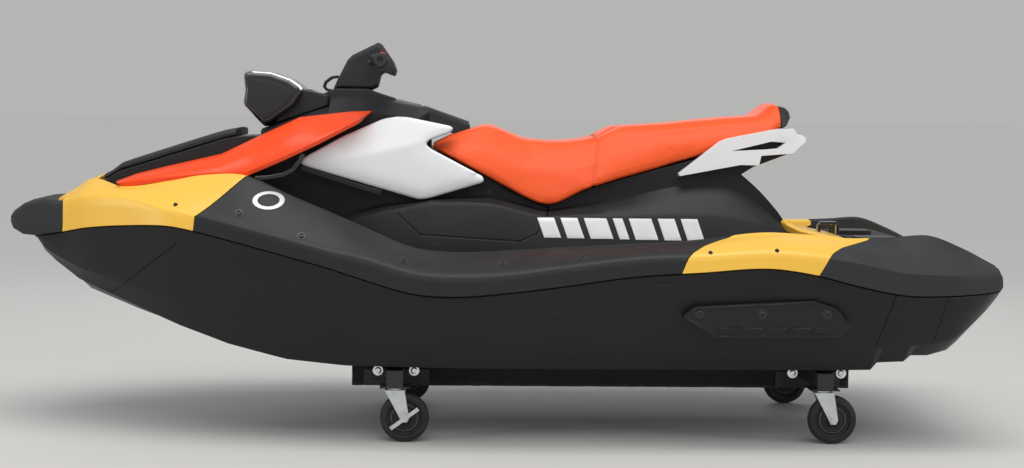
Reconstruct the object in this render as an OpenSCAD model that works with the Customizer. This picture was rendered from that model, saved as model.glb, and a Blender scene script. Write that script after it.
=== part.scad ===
// Three-seat personal watercraft on its rolling workshop dolly.
// +X is the bow, +Y the port side, +Z up; the origin is on the floor below the middle. Millimetres.

/* [Craft] */
// Length over everything, bumper to stern corner
craft_len = 3050; // [2800:10:3700]
// Width over the gunwales
craft_w = 1180; // [980:10:1420]
// Distance between two hull sections
section_gap = 72; // [50:2:90]

/* [Seat and console] */
// Half width of the spine that carries the seat
spine_y = 200; // [170:5:210]
// Thickness of the two storage lids
lid_t = 22; // [16:1:28]
// Gap all round a lid or a seat at rest
rest_gap = 0.6; // [0.4:0.1:0.9]

/* [Steering] */
// Lean of the steering column, in degrees
column_lean = 22; // [15:1:28]
// Distance of a grip's outer end from the middle
grip_end_y = 362; // [320:2:400]
// Radius of the handlebar tube
bar_r = 11; // [10:0.5:13]
// Radius of a grip
grip_r = 17; // [15:0.5:20]

/* [Jet pump] */
// Height of the pump's axis
pump_z = 314; // [310:1:318]
// Bore radius of the pump
pump_r = 64; // [56:1:68]
// Number of impeller blades
blade_n = 3; // [2:1:4]

/* [Dolly] */
// Wheel radius
wheel_r = 75; // [66:1:75]
// Wheel width
wheel_w = 36; // [28:1:38]
// Distance a caster's wheel trails its swivel
trail = 30; // [24:1:36]
// Side of the square cross tubes
tube = 50; // [40:1:55]
// Inner face of a bunk board
bunk_in = 100; // [80:1:120]
// Outer face of a bunk board
bunk_out = 144; // [130:1:170]
// Wall of the cross tubes
tube_wall = 3; // [2:0.5:4]

/* [Hidden] */
$fn = 48;

kx = craft_len / 3050;
ky = craft_w / 1180;

// The rim where hull and deck meet.
// Columns: x, half breadth, seam height, crease height, inner edge y, inner edge height
rim = [
    [1425, 196, 606, 700, 140, 716], [1330, 245, 622, 716, 170, 730],
    [1250, 306, 639, 733, 192, 784], [1134, 364, 651, 737, 285, 765],
    [ 985, 435, 656, 706, 310, 786], [ 890, 463, 641, 690, 325, 804],
    [ 757, 502, 611, 660, 368, 806], [ 620, 531, 577, 628, 392, 750],
    [ 500, 550, 546, 597, 420, 702], [ 400, 560, 515, 577, 430, 660],
    [ 250, 574, 474, 534, 445, 600], [ 120, 584, 467, 525, 455, 588],
    [ -30, 590, 480, 534, 460, 595], [-200, 590, 502, 557, 460, 606],
    [-400, 590, 531, 583, 460, 618], [-600, 589, 545, 594, 460, 632],
    [-790, 588, 558, 606, 456, 655], [-930, 587, 541, 598, 450, 650],
    [-1060, 584, 509, 579, 450, 640], [-1200, 578, 482, 552, 448, 645],
    [-1306, 570, 479, 545, 446, 650], [-1410, 555, 483, 541, 446, 612],
    [-1480, 532, 488, 540, 440, 577], [-1515, 500, 491, 538, 430, 560]];

// The hull under the rim. Columns: x, keel height, lower chine height, upper chine height
bottom = [
    [1425, 592, 597, 601], [1402, 541, 556, 570], [1365, 492, 524, 548], [1290, 423, 474, 515],
    [1135, 357, 414, 476], [ 958, 292, 344, 432], [ 811, 256, 294, 404], [ 633, 236, 252, 382],
    [ 454, 228, 236, 361], [ 200, 226, 233, 344], [-300, 226, 233, 339], [-1000, 226, 234, 326],
    [-1144, 226, 236, 324], [-1164, 226, 259, 325], [-1246, 228, 262, 328], [-1268, 230, 281, 330],
    [-1320, 234, 281, 334], [-1388, 246, 299, 346], [-1450, 326, 362, 398], [-1515, 420, 434, 452]];

// How far a rim panel's upper edge lies behind its foot. Columns: x, offset
rake = [[1425, 0], [1330, 0], [900, 140], [-540, 140], [-945, 175], [-1515, 0]];

// The spine inside the footwells.
// Columns: x, floor height, foot y, shoulder y, shoulder height, neck height, crown height
spine = [
    [ 590, 570, 216, 214, 600, 615, 640], [ 520, 520, 240, 230, 640, 655, 668],
    [ 380, 455, 300, 280, 690, 705, 715], [ 215, 440, 322, 300, 725, 729, 745],
    [ 200, 440, 322, 300, 728, 733, 893], [  20, 440, 322, 300, 728, 742, 801],
    [-100, 440, 322, 292, 700, 716, 738], [-146, 440, 322, 288, 690, 705, 721],
    [-190, 440, 322, 286, 690, 706, 723], [-268, 440, 322, 284, 696, 722, 762],
    [-391, 440, 320, 276, 700, 740, 802], [-560, 440, 312, 266, 704, 780, 850],
    [-740, 446, 304, 256, 706, 800, 905], [-742, 446, 303, 255, 700, 735, 768],
    [-832, 470, 297, 248, 690, 718, 748], [-914, 500, 290, 240, 625, 635, 652],
    [-960, 530, 285, 236, 600, 606, 614]];

// The front core's top under the lid, hood and console. Columns: x, height
core_top = [
    [1330, 700], [1223, 772], [1163, 809], [848, 910], [802, 920], [735, 922],
    [606, 978], [524, 990], [397, 1000], [308, 990], [246, 980], [208, 964], [200, 960]];

// The seat. Columns: x, base height, base half width, top height, top half width
seat_rows = [
    [ 196, 891, 214, 906, 168], [ 124, 854, 238, 940, 172], [  60, 821, 246, 962, 165],
    [  20, 801, 248, 964, 160], [ -60, 759, 250, 935, 160], [-100, 738, 250, 921, 160],
    [-146, 721, 250, 916, 162], [-190, 723, 250, 913, 165], [-268, 762, 248, 917, 168],
    [-320, 780, 240, 930, 166], [-365, 794, 232, 955, 162], [-391, 802, 226, 961, 162],
    [-480, 827, 212, 967, 165], [-560, 850, 194, 974, 165], [-650, 877, 193, 984, 165],
    [-740, 905, 192, 993, 163], [-845, 942, 188, 1004, 155], [-868, 950, 180, 1028, 140],
    [-888, 957, 172, 1045, 128], [-904, 963, 165, 1040, 124]];

// The console. Columns: x, base height, base half width, top height, top half width
console_rows = [
    [735, 922, 150, 944, 110], [606, 978, 196, 989, 120], [524, 990, 200, 1017.6, 110],
    [517, 991, 200, 1052, 88],
    [397, 1000, 200, 1054, 84], [308, 990, 200, 1042, 84], [246, 980, 196, 1029, 84],
    [208, 964, 104, 1016, 82], [78, 915, 98, 972, 78]];

front_wheels_x = 303 * kx;
rear_wheels_x = -1010 * kx;
caster_y = 372;
tube_z = 172;
plate_t = 4;
bunk_z = 135;
bunk_front_x = 445;
bunk_rear_x = -1144;
pin_fit = 0.05;

// ---- curves and shells -------------------------------------------------

function row_at(t, x, i = 0) = (i >= len(t) - 2 || x >= t[i + 1][0]) ? i : row_at(t, x, i + 1);
function slope(t, k, c) = let (p = max(k - 1, 0), n = min(k + 1, len(t) - 1))
    (t[n][c] - t[p][c]) / (t[n][0] - t[p][0]);
// Straight and smooth reading of column c of table t at x
function line(t, x, c) = let (i = row_at(t, x), a = t[i], b = t[i + 1])
    a[c] + (b[c] - a[c]) * (x - a[0]) / (b[0] - a[0]);
function curve(t, x, c) = let (i = row_at(t, x), a = t[i], b = t[i + 1], h = b[0] - a[0],
        u = min(max((x - a[0]) / h, 0), 1))
    (2 * u^3 - 3 * u^2 + 1) * a[c] + (u^3 - 2 * u^2 + u) * h * slope(t, i, c)
    + (3 * u^2 - 2 * u^3) * b[c] + (u^3 - u^2) * h * slope(t, i + 1, c);

function p(x, y, z) = [x * kx, y * ky, z];

// A closed shell through rings of equal length, each running counter-clockwise seen from the bow.
// Its two ends are fans from point number hub.
module shell(rings, hub = 0) {
    n = len(rings[0]);
    m = len(rings);
    sides = [for (i = [0:m - 2], j = [0:n - 1], h = [0, 1])
        let (k = (j + 1) % n)
        h == 0 ? [i * n + j, i * n + k, (i + 1) * n + k]
               : [i * n + j, (i + 1) * n + k, (i + 1) * n + j]];
    front = [for (j = [1:n - 2]) [hub, (hub + j + 1) % n, (hub + j) % n]];
    back = [for (j = [1:n - 2]) [(m - 1) * n + hub, (m - 1) * n + (hub + j) % n,
        (m - 1) * n + (hub + j + 1) % n]];
    polyhedron([for (r = rings, q = r) q], concat(sides, front, back));
}

// A port half section made whole by its own mirror image; the first and last points are on the middle
function whole(half) = concat(half,
    [for (i = [len(half) - 2:-1:1]) [half[i][0], -half[i][1], half[i][2]]]);

module starboard() { mirror([0, 1, 0]) children(); }
module both_sides() { children(); starboard() children(); }

// A side-view outline given in x and z, standing between two y planes
module slab(outline, y0, y1) {
    translate([0, y1, 0]) rotate([90, 0, 0]) linear_extrude(y1 - y0)
        polygon([for (q = outline) [q[0] * kx, q[1]]]);
}

// A cylinder along x or y, starting at a point
module along_x(from, r, length) { translate(from) rotate([0, 90, 0]) cylinder(r = r, h = length); }
module along_y(from, r, length) { translate(from) rotate([-90, 0, 0]) cylinder(r = r, h = length); }

nose_x = [1425, 1402, 1365, 1330];
hull_x = concat(nose_x,
    [for (x = [1290:-section_gap:-1450]) x], [-1480, -1515]);
function between(x1, x0) = [for (x = concat([x1], [for (q = hull_x) if (q < x1 - 0.5 && q > x0 + 0.5) q], [x0])) x];

// ---- hull --------------------------------------------------------------

tunnel_top = 462;
// The middle of the hull's top in a section's list of points
hull_hub = 12;

// Depth of the footwell recess under the rim at x
function well(x) = x > 620 || x < -980 ? 1
    : min(1, (620 - x) / 200, (x + 980) / 60) * (curve(rim, x, 2) - 430) + 1;
function chine_y(x) = 0.86 * curve(rim, x, 1);
function low_y(x) = 0.72 * curve(rim, x, 1);
// Bottom height at distance y from the keel: a shallow vee with a dropped lower chine
vee_part = 0.65;
vee_rise = 12;
function vee_mid(x) = line(bottom, x, 1) + vee_part * (line(bottom, x, 2) - line(bottom, x, 1)) + vee_rise;
function vee_z(x, y) = line(bottom, x, 1)
    + (vee_mid(x) - line(bottom, x, 1)) * min(y / (vee_part * low_y(x)), 1);

function hull_ring(x) = let (
        yg = curve(rim, x, 1) - 7, zs = line(rim, x, 2), yc = chine_y(x), zc = line(bottom, x, 3),
        yl = low_y(x), zl = line(bottom, x, 2), yw = min(438, yg - 40),
        y1 = min(bunk_in / ky, 0.4 * yl), y2 = min(bunk_out / ky, 0.5 * yl))
    whole([p(x, 0, line(bottom, x, 1)), p(x, y1, vee_z(x, y1)), p(x, y2, vee_z(x, y2)),
        p(x, vee_part * yl, vee_mid(x)), p(x, yl, zl), p(x, yc - 8, zc - 0.16 * (zc - zl)), p(x, yc, zc),
        p(x, yc + 0.30 * (yg - yc), zc + 0.34 * (zs - zc)),
        p(x, yc + 0.72 * (yg - yc), zc + 0.74 * (zs - zc)), p(x, yg, zs), p(x, yw, zs),
        p(x, yw, zs - well(x)), p(x, 0, zs - well(x))]);

// Inner face of a topside, in line with the inner wall of the gunwale above it
topside_y = 438 * ky;
module bottom_cuts() {
    // engine bay
    translate([-560, -192, 262]) cube([580, 384, 400]);
    // pump tunnel, open below and behind, and the water intake ahead of it
    translate([-1900, -140, 0]) cube([890, 280, tunnel_top]);
    translate([-1020, -75, 0]) cube([420, 150, 390]);
}
module hull() {
    color([0.08, 0.08, 0.09]) difference() {
        shell([for (x = hull_x) hull_ring(x)], hull_hub);
        bottom_cuts();
        both_sides() translate([-2000, topside_y, 0]) cube([4000, 400, 1000]);
    }
}
// The moulding outside the given removed band, from its lowest y
module topside(band) {
    color([0.08, 0.08, 0.09]) difference() {
        shell([for (x = hull_x) hull_ring(x)], hull_hub);
        translate([-2000, band, 0]) cube([4000, 1000 + topside_y, 1000]);
    }
}
module left_topside() { topside(-1000); }
module right_topside() { topside(-topside_y); }

module engine_block() {
    color([0.45, 0.46, 0.48]) translate([-530, -180, 262]) cube([520, 360, 340]);
}

// ---- deck --------------------------------------------------------------

// The hull's top as it stands between its sections. Columns: x, seam height, floor height
top_line = [for (x = hull_x) [x, line(rim, x, 2), line(rim, x, 2) - well(x)]];
function deck_ring(x) = let (zf = line(top_line, x, 2), yw = 437, top = line(spine, x, 1))
    whole([p(x, 0, zf + 0.3), p(x, yw, zf + 0.3), p(x, yw, max(zf + 12, top)),
        p(x, line(spine, x, 2), max(zf + 13, top + 1)), p(x, line(spine, x, 3), line(spine, x, 4)),
        [x * kx, spine_y, line(spine, x, 5)], [x * kx, spine_y, line(spine, x, 6)],
        p(x, 0, line(spine, x, 6))]);
// Deck sections: every hull section and every row of the spine, from the bow back
function sorted(list) = len(list) < 2 ? list : let (a = list[0])
    concat(sorted([for (q = list) if (q > a) q]), [a], sorted([for (q = list) if (q < a) q]));
function thinned(list, i = 0, kept = []) = i == len(list) ? kept
    : thinned(list, i + 1, len(kept) > 0 && kept[len(kept) - 1] - list[i] < 1.5 ? kept
        : concat(kept, [list[i]]));
deck_x = thinned(sorted(concat([for (r = spine) r[0]], [for (q = hull_x) if (q < 590 && q > -960) q])));

core_z = 657;
module deck() {
    color([0.09, 0.09, 0.1]) difference() {
        shell([for (x = deck_x) deck_ring(x)]);
        translate([200 * kx, -spine_y, core_z]) cube([1200 * kx, 2 * spine_y, 500]);
        // space over the engine
        translate([-560, -192, 400]) cube([580, 384, 245]);
    }
}
module front_core() {
    color([0.09, 0.09, 0.1]) difference() {
        slab(concat([[200, core_z]], [[1330, core_z]], core_top), -spine_y, spine_y);
        // front storage bin and the glovebox well
        translate([870 * kx, -160, 690]) cube([250, 320, 300]);
        translate([100, -70, 930]) cube([130, 140, 100]);
    }
}

// ---- rim pieces --------------------------------------------------------

function rim_ring(x, inner) = let (a = line(rake, x, 1), xc = x - 0.22 * a, xt = x - a)
    [p(x, curve(rim, x, 1), line(top_line, x, 1)), p(xc, curve(rim, xc, 1) - 9, curve(rim, xc, 3)),
        p(xc - 0.1 * a, curve(rim, xc, 1) - 22, curve(rim, xc, 3) + 9),
        p(xt, curve(rim, xt, 4) + 8, curve(rim, xt, 5) - 6), p(xt, curve(rim, xt, 4), curve(rim, xt, 5)),
        p(xt, curve(rim, xt, 4) - 14, curve(rim, xt, 5) - 6),
        p(x, inner, line(top_line, x, 1))];

// Length of rim from x1 back to x0
module rim_piece(x1, x0, inner) { shell([for (x = between(x1, x0)) rim_ring(x, inner)]); }

module bow_bumper() {
    color([0.07, 0.07, 0.08])
        // columns: x, half width below, height below, half width above, height above
        shell([for (r = [[1525, 84, 640, 80, 664], [1512, 108, 622, 104, 676], [1470, 158, 607, 150, 702],
                [1425, 196, 606, 188, 713], [1402, 209, 610, 200, 718], [1365, 228, 616, 219, 716],
                [1330, 245, 622, 236, 714]])
            let (zb = r[0] > 1425 ? r[2] : line(top_line, r[0], 1))
            whole([p(r[0], 0, zb), p(r[0], r[1], zb), p(r[0], r[1] + 2, zb + 20),
                p(r[0], r[3], r[4] - 10), p(r[0], r[3] - 16, r[4]), p(r[0], 0, r[4] + 6)])]);
}

module bow_panel() {
    color([0.98, 0.72, 0.27]) difference() {
        union() {
            rim_piece(1326, 900, spine_y / ky);
            starboard() rim_piece(1326, 900, spine_y / ky);
        }
        translate([0, -spine_y, 500]) cube([1600, 2 * spine_y, 500]);
    }
    color([0.98, 0.72, 0.27])
        slab([[1370, 726], [1224, 799], [1224, 774], [1329, 716], [1329, 726]], -spine_y, spine_y);
}

module left_gunwale() { color([0.1, 0.1, 0.11]) rim_piece(899, -539, 438); }
module right_gunwale() { starboard() left_gunwale(); }
module left_rear_panel() { color([0.98, 0.72, 0.27]) rim_piece(-541, -944, 438); }
module right_rear_panel() { starboard() left_rear_panel(); }
module left_rear_corner() {
    color([0.13, 0.13, 0.14]) difference() {
        shell([for (x = concat(between(-946, -1515), [-1525]))
            x < -1520 ? [for (q = rim_ring(-1515, 438)) [-1525 * kx, q[1] * 0.97, 515 + 0.6 * (q[2] - 515)]]
                      : rim_ring(x, 438)]);
    }
}
module right_rear_corner() { starboard() left_rear_corner(); }

// ---- hood, side panels and lid -----------------------------------------

// Columns: x below, y below, z below, x above, y above, z above
hood_rows = [
    [1150, 282, 772, 1162, 262, 778], [1120, 290, 776, 1106, 246, 800], [990, 305, 796, 1014, 240, 824],
    [862, 318, 811, 847, 238, 864], [757, 322, 814, 728, 238, 922], [650, 322, 861, 606, 238, 980],
    [549, 318, 909, 453, 236, 999], [420, 300, 978, 385, 240, 1002]];

module left_hood_panel() {
    color([0.98, 0.32, 0.12]) shell([for (r = hood_rows)
        [p(r[0], r[1], r[2]), p(0.5 * (r[0] + r[3]), 0.5 * (r[1] + r[4]) + 12, 0.5 * (r[2] + r[5])),
            p(r[3], r[4], r[5]), p(r[3], r[4] - 12, r[5] + 3), [r[3] * kx, spine_y, r[5]],
            [r[0] * kx, spine_y, r[2]]]]);
}
module right_hood_panel() { starboard() left_hood_panel(); }

side_outline = [
    [603, 843], [594, 858], [472, 926], [350, 980], [310, 988], [274, 987], [140, 961], [131, 952],
    [142, 940], [208, 916], [216, 903], [200, 890], [38, 806], [36, 788], [206, 736], [235, 732],
    [257, 738], [308, 752], [593, 832]];
module left_side_panel() {
    color([0.93, 0.93, 0.94]) slab(side_outline, spine_y, 272 * ky);
}
module right_side_panel() { starboard() left_side_panel(); }

lid_outline = [
    [1212, 780], [1221, 782], [1221, 796], [1163, 810 + lid_t], [848, 911 + lid_t], [806, 920 + lid_t],
    [806, 919 + rest_gap], [848, 910 + rest_gap], [1163, 809 + rest_gap]];
module front_storage_lid() {
    color([0.1, 0.1, 0.11]) slab(lid_outline, -(spine_y - 8), spine_y - 8);
}

// ---- console and steering ----------------------------------------------

module console() {
    color([0.09, 0.09, 0.1]) difference() {
        shell([for (r = console_rows)
            whole([[r[0] * kx, 0, r[1]], [r[0] * kx, r[2], r[1]],
                [r[0] * kx, r[4] + 0.3 * (r[2] - r[4]) + 6, r[3] - 0.25 * (r[3] - r[1])],
                [r[0] * kx, r[4] - 12, r[3]], [r[0] * kx, 0, r[3]]])]);
        translate([100, -70, 900]) cube([130, 140, 200]);
        translate([box_x - 20, -76, box_z - 6.9]) rotate([0, -box_lean, 0]) cube([182, 152, 60]);
    }
}

// Lower rear corner, length and slope of the glovebox lid
box_x = 84 * kx;
box_z = 962;
box_len = 152 * kx;
box_lean = 19;
module glovebox_lid() {
    color([0.2, 0.2, 0.21]) translate([box_x, 0, box_z]) rotate([0, -box_lean, 0])
        translate([0, -70, rest_gap]) cube([box_len, 140, 12]);
}

speaker_outline = [
    [795, 1119], [774, 1126], [730, 1120], [612, 1091], [524, 1055], [524, 1018], [606, 989.4],
    [728, 946.8], [796, 1017], [789, 1064]];
module speaker_box() {
    color([0.07, 0.07, 0.08]) slab(speaker_outline, -150, 150);
}

column_foot = [462 * kx, 0, 1056];
cover_outline = [
    [516, 1070], [503, 1100], [471, 1164], [456, 1180], [373, 1222], [361, 1216], [322, 1160],
    [312, 1134], [318, 1115], [350, 1127], [363, 1118], [372, 1080], [392, 1070]];
column_r = 24;
module steering_cover() {
    color([0.08, 0.08, 0.09]) difference() {
        union() {
            slab(cover_outline, -52, 52);
            // round foot of the column, turning just above the console
            translate(column_foot) rotate([0, -column_lean, 0]) translate([0, 0, 7.4])
                cylinder(r = column_r, h = 30);
        }
        along_y([bar_x, -60, bar_z], bar_r, 120);
    }
}

bar_x = 385 * kx;
bar_z = 1172;
grip_x = 356 * kx;
grip_z = 1158;
elbow = 1.5;
elbow_y = 180;
module tube_between(a, b, r) {
    d = b - a;
    translate(a) rotate([0, acos(d[2] / norm(d)), atan2(d[1], d[0])]) cylinder(r = r, h = norm(d));
}
module handlebar() {
    color([0.12, 0.12, 0.13]) {
        along_y([bar_x, -70, bar_z], bar_r, 140);
        both_sides() {
            translate([bar_x, 70, bar_z]) sphere(bar_r + elbow);
            tube_between([bar_x, 70, bar_z], [grip_x, elbow_y, grip_z], bar_r);
            translate([grip_x, elbow_y, grip_z]) sphere(bar_r + elbow);
            along_y([grip_x, elbow_y, grip_z], bar_r, grip_end_y - elbow_y - 8);
        }
    }
}
module grips() {
    color([0.05, 0.05, 0.06]) both_sides() difference() {
        along_y([grip_x, 236, grip_z], grip_r, grip_end_y - 236);
        along_y([grip_x, 230, grip_z], bar_r, grip_end_y - 238);
    }
}
module control_levers() {
    color([0.06, 0.06, 0.07]) both_sides() {
        difference() {
            along_y([grip_x, 196, grip_z], 24, 36);
            along_y([grip_x, 190, grip_z], bar_r, 50);
        }
        translate([grip_x + 20, 200, grip_z - 14]) cube([22, 26, 22]);
        translate([grip_x + 32, 212, grip_z - 9]) rotate([0, 0, 5]) cube([10, 120, 12]);
    }
}

// ---- seat and tail -----------------------------------------------------

module seat() {
    color([0.99, 0.36, 0.16]) difference() {
        shell([for (r = seat_rows) let (x = r[0] * kx, g = r[1] + rest_gap, t = r[3])
            whole([[x, 0, g], [x, r[2], g], [x, r[2] + 4, g + 0.14 * (t - g)],
                [x, r[4] + 0.62 * (r[2] - r[4]), g + 0.6 * (t - g)], [x, r[4], t - 0.12 * (t - g)],
                [x, 0.7 * r[4], t - 3], [x, 0, t + 1]])]);
        translate([66 * kx, -110, 700]) cube([300, 220, 400]);
    }
}
module seat_rear_cap() {
    color([0.06, 0.06, 0.07]) shell([for (r = [[-904, 963, 165, 1040, 124], [-922, 972, 158, 1036, 118],
            [-937, 1000, 140, 1024, 110]])
        whole([[r[0] * kx, 0, r[1] + rest_gap], [r[0] * kx, r[2], r[1] + rest_gap],
            [r[0] * kx, r[4], r[3] - 6], [r[0] * kx, 0, r[3]]])]);
}

tail_outline = [
    [-743, 800], [-812, 843], [-918, 884], [-937, 925], [-933, 966], [-904, 961], [-845, 941], [-743, 905]];
module tail_cover() {
    color([0.08, 0.08, 0.09]) slab(tail_outline, -spine_y, spine_y);
}

handle_outline = [
    [-572, 821], [-698, 921], [-723, 932], [-881, 964], [-928, 965], [-954, 931], [-958, 917],
    [-930, 888], [-829, 879], [-823, 849], [-765, 850], [-574, 813]];
handle_slot = [[-735, 893], [-860, 924], [-905, 921], [-880, 903], [-843, 899]];
module grab_handle() {
    color([0.93, 0.93, 0.94]) {
        both_sides() difference() {
            slab(handle_outline, spine_y, spine_y + 34);
            slab(handle_slot, spine_y - 5, spine_y + 40);
        }
        along_y([-956 * kx, -spine_y - 20, 930], 15, 2 * spine_y + 40);
    }
}

// ---- stern deck --------------------------------------------------------

platform_x = concat([-961], [for (q = hull_x) if (q < -965) q]);
module stern_platform() {
    color([0.97, 0.74, 0.36]) shell([for (x = platform_x)
        let (z = x > -1340 ? 604 : 604 - (604 - 545) * (-1340 - x) / 175, y = min(424, curve(rim, x, 4) - 24))
        whole([p(x, 0, line(top_line, x, 2)), p(x, y, line(top_line, x, 2)), p(x, y, z), p(x, 0, z)])]);
}
module deck_mat() {
    color([0.06, 0.06, 0.07]) difference() {
        translate([-1335 * kx, -380, 604]) cube([330 * kx, 760, 8]);
        translate([-1110 * kx - 32, -42, 600]) cube([64, 84, 20]);
    }
}
module tow_hook() {
    color([0.06, 0.06, 0.07]) translate([-1110 * kx, 0, 604]) {
        translate([-30, -40, 0]) cube([60, 80, 8]);
        both_sides() translate([0, 24, 0]) cylinder(r = 6, h = 50);
        along_y([0, -30, 50], 6, 60);
    }
}
eye_r = 12;
module eye(x, y, z) {
    translate([x, y + 5, z]) rotate([90, 0, 0]) difference() {
        cylinder(r = eye_r + 9, h = 10);
        translate([0, 0, -5]) cylinder(r = eye_r, h = 20);
    }
}
module towing_eyes() {
    color([0.75, 0.76, 0.78]) {
        difference() {
            eye(1425 * kx, 0, 556);
            shell([for (x = [for (q = hull_x) if (q > 1200) q]) hull_ring(x)], hull_hub);
        }
        both_sides() difference() {
            eye(-1497.5 * kx, 250, 386);
            shell([for (x = [for (q = hull_x) if (q < -1300) q]) hull_ring(x)], hull_hub);
        }
    }
}

// ---- hull fittings -----------------------------------------------------

stabilizer_outline = [
    [-542, 409], [-583, 442], [-935, 462], [-1005, 439], [-1048, 384], [-1014, 349], [-647, 347]];
module stabilizers() {
    color([0.1, 0.1, 0.11]) difference() {
        both_sides() slab(stabilizer_outline, 500 * ky, 575 * ky);
        shell([for (x = [for (q = hull_x) if (q < -400 && q > -1200) q]) hull_ring(x)], hull_hub);
    }
}

module intake_grate() {
    color([0.3, 0.31, 0.33]) translate([-1005, -75, 231]) difference() {
        cube([405, 150, 10]);
        for (i = [0:4]) translate([20, 10 + 27 * i, -5]) cube([365, 22, 20]);
    }
}
module ride_plate() {
    color([0.14, 0.14, 0.15]) translate([-1330, -140, 235.2]) cube([315, 280, 4.5]);
}

outlet_x = -1328;
outlet_r = 31;
nozzle_r = 50;
pump_wall = 10;
bucket_x = -1275;
steer_x = -1310;
vane_n = 5;
bucket_r = 158;
bucket_y = 104;
bucket_up = 20;
bucket_arc = 42;
module pump_housing() {
    color([0.5, 0.51, 0.54]) {
        difference() {
            union() {
                translate([-1020, -110, 240]) cube([10, 220, 160]);
                along_x([-1240, 0, pump_z], pump_r + pump_wall, 230);
                translate([-1290, 0, pump_z]) rotate([0, 90, 0])
                    cylinder(r1 = outlet_r + 5, r2 = pump_r + pump_wall, h = 50);
                along_x([outlet_x, 0, pump_z], outlet_r, 50);
                along_y([bucket_x, outlet_r, pump_z], 9, bucket_y + 12 - outlet_r);
                along_y([bucket_x, -bucket_y - 12, pump_z], 9, bucket_y + 12 - outlet_r);
                for (s = [outlet_r - 4, -nozzle_r - 12]) translate([steer_x, 0, pump_z + s])
                    cylinder(r = 6, h = nozzle_r + 16 - outlet_r);
            }
            along_x([-1235, 0, pump_z], pump_r, 260);
            translate([-1285, 0, pump_z]) rotate([0, 90, 0])
                cylinder(r1 = outlet_r - 5, r2 = pump_r, h = 50.1);
            along_x([outlet_x - 5, 0, pump_z], outlet_r - 5, 60);
        }
        difference() {
            union() {
                along_x([-1230, 0, pump_z], 26, 50);
                for (a = [0:vane_n - 1]) translate([-1228, 0, pump_z]) rotate([360 / vane_n * a, 0, 0])
                    translate([0, -2.5, 20]) cube([44, 5, pump_r - 16]);
            }
            along_x([-1215, 0, pump_z], 12 + pin_fit, 50);
        }
    }
}
module impeller() {
    color([0.7, 0.71, 0.74]) {
        along_x([-1214, 0, pump_z], 12, 606);
        along_x([-1172, 0, pump_z], 26, 92);
        for (a = [0:blade_n - 1]) translate([-1126, 0, pump_z]) rotate([360 / blade_n * a, 0, 0])
            rotate([0, 0, 52]) translate([-32, -2.5, 20]) cube([64, 5, pump_r - 30]);
    }
}
module steering_nozzle() {
    color([0.16, 0.16, 0.17]) translate([0, 0, pump_z]) {
        difference() {
            union() {
                along_x([-1410, 0, 0], nozzle_r, 86);
                translate([-1345, -13, -nozzle_r - 8]) cube([35, 26, 2 * nozzle_r + 16]);
                translate([steer_x, 0, -nozzle_r - 8]) cylinder(r = 13, h = 2 * nozzle_r + 16);
            }
            along_x([-1430, 0, 0], nozzle_r - 6, 150);
            translate([steer_x, 0, -80]) cylinder(r = 6 + pin_fit, h = 160);
        }
    }
}
module bucket_sector(r, y0, y1) {
    translate([bucket_x, y1, pump_z]) rotate([90, 0, 0]) linear_extrude(y1 - y0)
        polygon(concat([[0, 0]], [for (a = [0:6]) let (t = 180 - bucket_up - bucket_arc * a / 6)
            r * [cos(t), sin(t)]]));
}
module reverse_bucket() {
    color([0.14, 0.14, 0.15]) difference() {
        union() {
            difference() {
                bucket_sector(bucket_r, -bucket_y - 6, bucket_y + 6);
                along_y([bucket_x, -bucket_y, pump_z], bucket_r - 8, 2 * bucket_y);
            }
            both_sides() along_y([bucket_x, bucket_y, pump_z], 18, 6);
        }
        along_y([bucket_x, -200, pump_z], 9 + pin_fit, 400);
    }
}

// ---- dolly -------------------------------------------------------------

bunk_x = between(bunk_front_x, bunk_rear_x);
module bunks() {
    color([0.05, 0.05, 0.055]) both_sides() difference() {
        shell([for (x = bunk_x) let (i = bunk_in / ky, o = bunk_out / ky)
            [[x * kx, bunk_in, bunk_z], [x * kx, bunk_out, bunk_z],
                [x * kx, bunk_out, vee_z(x, o) - 0.3], [x * kx, bunk_in, vee_z(x, i) - 0.3]]]);
        for (x = [front_wheels_x, rear_wheels_x])
            translate([x - tube / 2, 0, tube_z]) cube([tube, 500, tube]);
    }
}
module dolly_frame() {
    color([0.13, 0.13, 0.135]) difference() {
        for (x = [front_wheels_x, rear_wheels_x]) {
            difference() {
                translate([x - tube / 2, -412, tube_z]) cube([tube, 824, tube]);
                translate([x - tube / 2 + tube_wall, -408, tube_z + tube_wall])
                    cube([tube - 2 * tube_wall, 816, tube - 2 * tube_wall]);
            }
            both_sides() {
                translate([x - 104, bunk_out, 138]) cube([208, 6, 51]);
                translate([x - 45, caster_y - 40, tube_z - plate_t]) cube([90, 80, plate_t]);
                for (s = [-1, 1]) along_y([x + 66 * s, bunk_out + 6, 163], 9, 5);
            }
        }
        for (x = [front_wheels_x, rear_wheels_x]) both_sides()
            translate([x, caster_y, tube_z - 10]) cylinder(r = 8 + pin_fit, h = 12);
    }
}

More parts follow.
